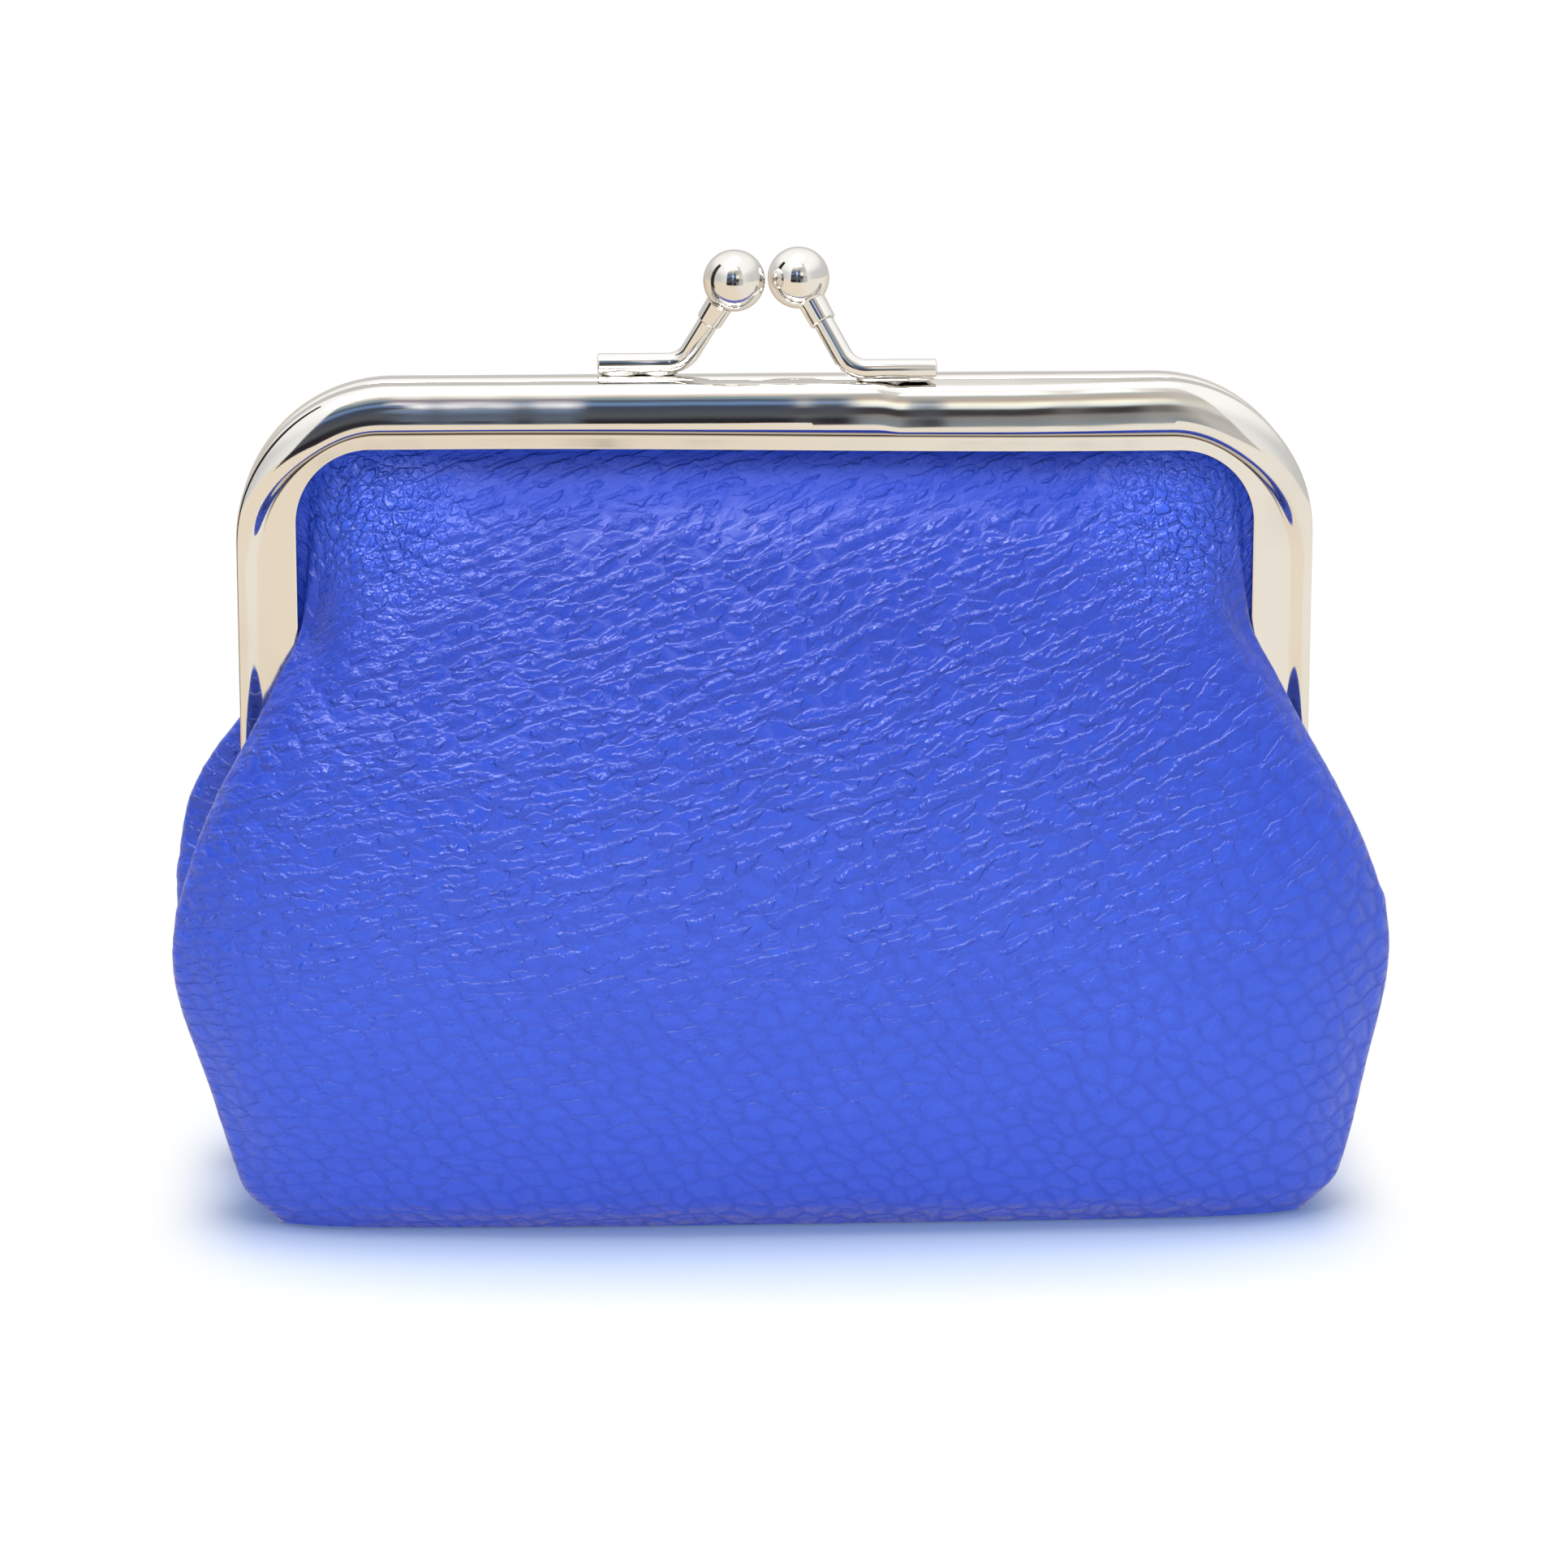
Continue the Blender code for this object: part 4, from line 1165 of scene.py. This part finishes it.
# The frame halves: a channel lofted round the U, with the ears taken from the model
channel = {
    "seamRound": 0.0011,
    "edgeRound": 0.00004,
    "earCut": 0.00002,  # above the channel's end
    "backShorter": 0.0008,
    "beadTop": 0.0045,
    "beadLeg": 0.0021,
    "crown": 0.84,
    "legCrown": 0.28,
    "legFlat": 0.82,  # how much lower the bead is on the legs
    "legFold": 0.5,
    "foldRows": {-4: 1, -5: 0.8},
    "foldRange": (0.060, 0.068),
    "jogDown": 0.0105,
    "jogReach": 0.0060,
    "legSteps": 36,
    "cornerSteps": 28,
    "barSteps": 110,
    "roundSteps": 12,
    "wave": 0.00003,
    "barWaves": ((2.9, 1, 1.0), (1.3, 2, 0.6)),  # millimetres a radian, start and share
    "legWave": (2.3, 0.8),
    "dentPlace": 0.0103,
    "dentDrop": 0.00028,
    "dentStart": (-0.0012, 0.0010),
    "dentLow": 0.7,  # of the bead's height
    "dentEnd": (0.020, 0.038),
    "barRange": (0.052, 0.070),
    "rightFlange": 0.0006,
    "flangeRange": (-0.03, 0.03),
}


def channelProfile():
    # the outer skin's section: inset on the bar, inset on the legs, depth, and 1 on the bead
    points = [(bag["channelTop"] - channel["backShorter"],) * 2 + (seamFace, 0)]
    turn = np.linspace(0, math.pi / 2, channel["roundSteps"] + 1)
    for angle in turn:
        inset = channel["seamRound"] * (1 - math.sin(angle))
        points.append((inset, inset, seamFace + channel["seamRound"] * (1 - math.cos(angle)), 0))
    high, leg, proud = channel["beadTop"], channel["beadLeg"], bag["beadProud"]
    crown, legCrown = channel["crown"], channel["legCrown"]
    for angle in turn[1:]:
        share = 1 - math.cos(angle)
        points.append((high * crown * share, leg * legCrown * share,
                       flangeFace + proud * math.sin(angle), 1))
    for angle in turn[1:]:
        share = math.sin(angle)
        linear = angle / (math.pi / 2)
        points.append((high * (crown + (1 - crown) * share), leg * (legCrown + (1 - legCrown) * linear),
                       flangeFace + proud * (1 + math.cos(math.pi * linear)) / 2, 1 - share))
    for share in (0.35, 0.9, 1):
        inset = high + (bag["channelTop"] - high) * share
        points.append((inset, inset - (high - leg) * (1 - share), flangeFace, 0))
    return np.array(points)


def framePath(inset):
    # x, z and the way outwards along half the U, for a line at this distance inside the edge
    radius = cornerRadius(inset)
    legInset = inset * (1 if inset < channel["beadTop"] + 0.00001 else bag["channelLeg"] / bag["channelTop"])
    centre = np.array([halfWidth - legInset - radius, frameTop - inset - radius])
    leg = np.linspace(channelEnd, centre[1], channel["legSteps"], endpoint=False)
    turn = np.linspace(0, math.pi / 2, channel["cornerSteps"] + 1)
    bar = np.linspace(centre[0], 0, channel["barSteps"] // 2 + 1)[1:]
    x = np.concatenate([np.full(len(leg), halfWidth - legInset), centre[0] + radius * np.cos(turn), bar])
    z = np.concatenate([leg, centre[1] + radius * np.sin(turn), np.full(len(bar), frameTop - inset)])
    outX = np.concatenate([np.ones(len(leg)), np.cos(turn), np.zeros(len(bar))])
    outZ = np.concatenate([np.zeros(len(leg)), np.sin(turn), np.ones(len(bar))])
    return np.stack([x, z, outX, outZ], axis=-1)


def channelLoft(name, facing):
    profile = channelProfile()
    lines = []
    for inset, legInset, depth, on in profile:
        right = framePath(inset)
        left = right[:-1] * np.array([-1, 1, -1, 1])
        line = np.concatenate([left, right[::-1]])
        jog = frameTop - channel["jogDown"]
        narrow = 1 - softStep(line[:, 1], jog - channel["jogReach"], jog + channel["jogReach"])
        push = (inset - legInset) * narrow
        x, z = line[:, 0] + line[:, 2] * push, line[:, 1] + line[:, 3] * push
        length, tall = channel["legWave"]
        wobble = sum(by * np.sin(x / millimetre / run + start) for run, start, by in channel["barWaves"])
        wobble = wobble + tall * np.sin(z / millimetre / length)
        proud = np.maximum(depth - flangeFace, 0)
        y = depth - channel["legFlat"] * proud * narrow + channel["wave"] * wobble * on
        if facing < 0:
            dent = softStep(x - channel["dentPlace"], *channel["dentStart"])
            dent = dent * (1 - softStep(x, *channel["dentEnd"]))
            top = softStep(z, *channel["barRange"])
            lower = softStep(inset, channel["beadTop"] * channel["dentLow"], channel["beadTop"])
            z = z - channel["dentDrop"] * dent * on * top
            z = z - channel["rightFlange"] * softStep(x, *channel["flangeRange"]) * top * lower
        lines.append(np.stack([x, facing * y, z], axis=-1))
    places = np.array(lines)
    if facing < 0:
        places = places[:, ::-1]
    across, up = arcLengths(places)
    plate = gridSheet(name, places, {"plate": np.stack([across, up], axis=-1) * millimetre / uvSpan})
    # where the frame's material paints shade: the fold under the bead, less on the legs
    fold = np.zeros(places.shape[:2])
    for index, share in channel["foldRows"].items():
        fold[index] = share
    onLeg = 1 - softStep(places[-4, :, 2], *channel["foldRange"])
    fold *= 1 - (1 - channel["legFold"]) * onLeg[None, :]
    mark = plate.data.attributes.new("fold", "FLOAT", "POINT")
    mark.data.foreach_set("value", fold.reshape(-1).astype(np.float32))
    return plate


def earsFrom(node, cut):
    # the model's ears: a merged copy of the half, cut off under the channel
    nothingSelected()
    ears = node.copy()
    ears.data = node.data.copy()
    for key in list(ears.keys()):
        del ears[key]
    ears.parent = None
    bpy.context.scene.collection.objects.link(ears)
    ears.hide_render = False
    editMode(ears, "VERT")
    bpy.ops.mesh.select_all(action="SELECT")
    bpy.ops.mesh.remove_doubles(threshold=0.000001)
    bpy.ops.mesh.select_all(action="SELECT")
    bpy.ops.mesh.bisect(plane_co=(0, 0, cut), plane_no=(0, 0, 1), use_fill=True, clear_outer=True)
    bpy.ops.object.mode_set(mode="OBJECT")
    return ears


def frameHalf(half, facing):
    plate = channelLoft(f"{half}_frame_half", facing)
    applied(plate, "SOLIDIFY", thickness=purse["sheet"], offset=-1, use_even_offset=True)
    applied(plate, "BEVEL", width=channel["edgeRound"], segments=2, limit_method="ANGLE",
            angle_limit=math.radians(50))
    ears = earsFrom(frame["nodes"][f"{half}_frame"], channelEnd + channel["earCut"])
    workOn(plate, ears)
    bpy.ops.object.join()
    smooth(plate, 40)
    applied(plate, "WEIGHTED_NORMAL", keep_sharp=True)
    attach(plate, f"{half}_half")
    dressed(plate, frameNickel, "nickel_plate", f"{half}_frame")


for half, facing in (("front", -1), ("rear", 1)):
    frameHalf(half, facing)
print("frame halves made")


# The clasp: bent rods soldered on the bars, and collared balls
clasp = {
    "offset": -0.0008,
    "rod": 0.00094,
    "solderGap": 0.0001,
    "footOuter": 0.0153,
    "footInner": 0.0075,
    "bend": 0.0024,
    "ball": 0.0028,
    "ballGap": 0.0003,
    "rise": 0.0090,
    "crossing": 0.0009,
    "collar": 0.00122,
    "collarLength": 0.0022,
    "stop": 0.0006,
    "sides": 40,
    "bendSteps": 14,
    "footRound": 0.00016,
    "collarTaper": 0.94,
    "solderHeight": 0.92,  # under the rod's middle, in rod radii
    "neckRound": 0.00014,
    "solder": (  # how far in from the foot's end, how far aside, and the bead's half sizes
        (0.0020, 0, (0.0019, 0.00100, 0.00034)),
        (0.0056, 0, (0.0017, 0.00092, 0.00030)),
        (0.0040, 0.0004, (0.0026, 0.00080, 0.00024)),
    ),
}


def claspLine(facing):
    # the stem's corner on the bar, its ball's centre and its direction
    side = -facing
    bar = (seamFace + flangeFace + bag["beadProud"]) / 2
    corner = Vector((clasp["offset"] + side * clasp["footInner"], facing * bar,
                     frameTop + clasp["solderGap"] + clasp["rod"]))
    centre = Vector((clasp["offset"] + side * (clasp["ball"] + clasp["ballGap"] / 2),
                     -facing * clasp["crossing"], frameTop + clasp["rise"]))
    return corner, centre, (centre - corner).normalized()


def solderBead(place, size):
    bead = made(bpy.ops.mesh.primitive_uv_sphere_add, "solder", segments=24, ring_count=12, radius=1,
                location=place)
    bead.scale = size
    placeKept(bead)
    return bead


def claspArm(half, facing):
    corner, centre, stem = claspLine(facing)
    foot = Vector((-facing, 0, 0))
    halfAngle = (math.pi - foot.angle(stem)) / 2
    tangent = clasp["bend"] * math.tan(halfAngle)
    middle = corner + (foot + stem).normalized() * clasp["bend"] / math.cos(halfAngle)
    end, start = corner + foot * (clasp["footOuter"] - clasp["footInner"]), corner + foot * tangent
    arm = made(bpy.ops.mesh.primitive_cylinder_add, f"{half}_arm",
               vertices=clasp["sides"], radius=clasp["rod"], depth=(end - start).length,
               location=(end + start) / 2, rotation=(-foot).to_track_quat("Z", "Y").to_euler())
    placeKept(arm)
    rod = editMode(arm)
    caps = sorted((face for face in rod.faces if len(face.verts) > 4),
                  key=lambda face: (face.calc_center_median() - start).length)
    pick(arm, caps[:1])
    axis = (-foot).cross(stem).normalized()
    bpy.ops.mesh.spin(steps=clasp["bendSteps"], angle=-(-foot).angle(stem), center=middle, axis=axis)
    bpy.ops.mesh.extrude_region_move(TRANSFORM_OT_translate={
        "value": (centre - stem * clasp["stop"]) - (corner + stem * tangent)})
    bpy.ops.object.mode_set(mode="OBJECT")
    rod = editMode(arm, "EDGE")
    pick(arm, [edge for edge in rod.edges
               if all((vert.co - end).dot(foot) > -0.00001 for vert in edge.verts)])
    bpy.ops.mesh.bevel(offset=clasp["footRound"], segments=3)
    bpy.ops.object.mode_set(mode="OBJECT")
    low = corner.z - clasp["rod"] * clasp["solderHeight"]
    beads = [solderBead((end.x - foot.x * inward, corner.y + facing * aside, low), size)
             for inward, aside, size in clasp["solder"]]
    workOn(arm, *beads)
    bpy.ops.object.join()
    smooth(arm, 35)
    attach(arm, f"{half}_half")
    dressed(arm, claspNickel, "nickel_plate", f"{half}_clasp_arm")


def claspBall(half, facing):
    _, centre, stem = claspLine(facing)
    ball = made(bpy.ops.mesh.primitive_uv_sphere_add, f"{half}_ball",
                segments=64, ring_count=40, radius=clasp["ball"], location=(0, 0, 0))
    mesh = editMode(ball)
    neck = -math.sqrt(clasp["ball"] ** 2 - clasp["collar"] ** 2)
    collarEnd = neck - clasp["collarLength"]
    pick(ball, [face for face in mesh.faces if face.calc_center_median().z < neck - 0.00002])
    bpy.ops.mesh.extrude_region_move(TRANSFORM_OT_translate={"value": (0, 0, collarEnd + clasp["ball"])})
    taper = clasp["collarTaper"]
    bpy.ops.transform.resize(value=(taper, taper, 0.0), center_override=(0, 0, collarEnd))
    bpy.ops.object.mode_set(mode="OBJECT")
    bpy.ops.object.shade_smooth_by_angle(angle=math.radians(40))
    ball.rotation_euler = stem.to_track_quat("Z", "Y").to_euler()
    ball.location = centre
    placeKept(ball)
    applied(ball, "BEVEL", width=clasp["neckRound"], segments=3, limit_method="ANGLE",
            angle_limit=math.radians(50))
    smooth(ball, 35)
    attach(ball, f"{half}_half")
    dressed(ball, claspNickel, "nickel_plate", f"{half}_clasp_ball")


for half, facing in (("front", -1), ("rear", 1)):
    claspArm(half, facing)
    claspBall(half, facing)
print("clasp made")


# What the model already shapes gets its finish
finishes = {"rivet": claspNickel, "paper": paper, "stitching": thread}
for name, node in frame["nodes"].items():
    if not node.hide_render:
        node.data.materials.clear()
        node.data.materials.append(next(value for key, value in finishes.items() if key in name))
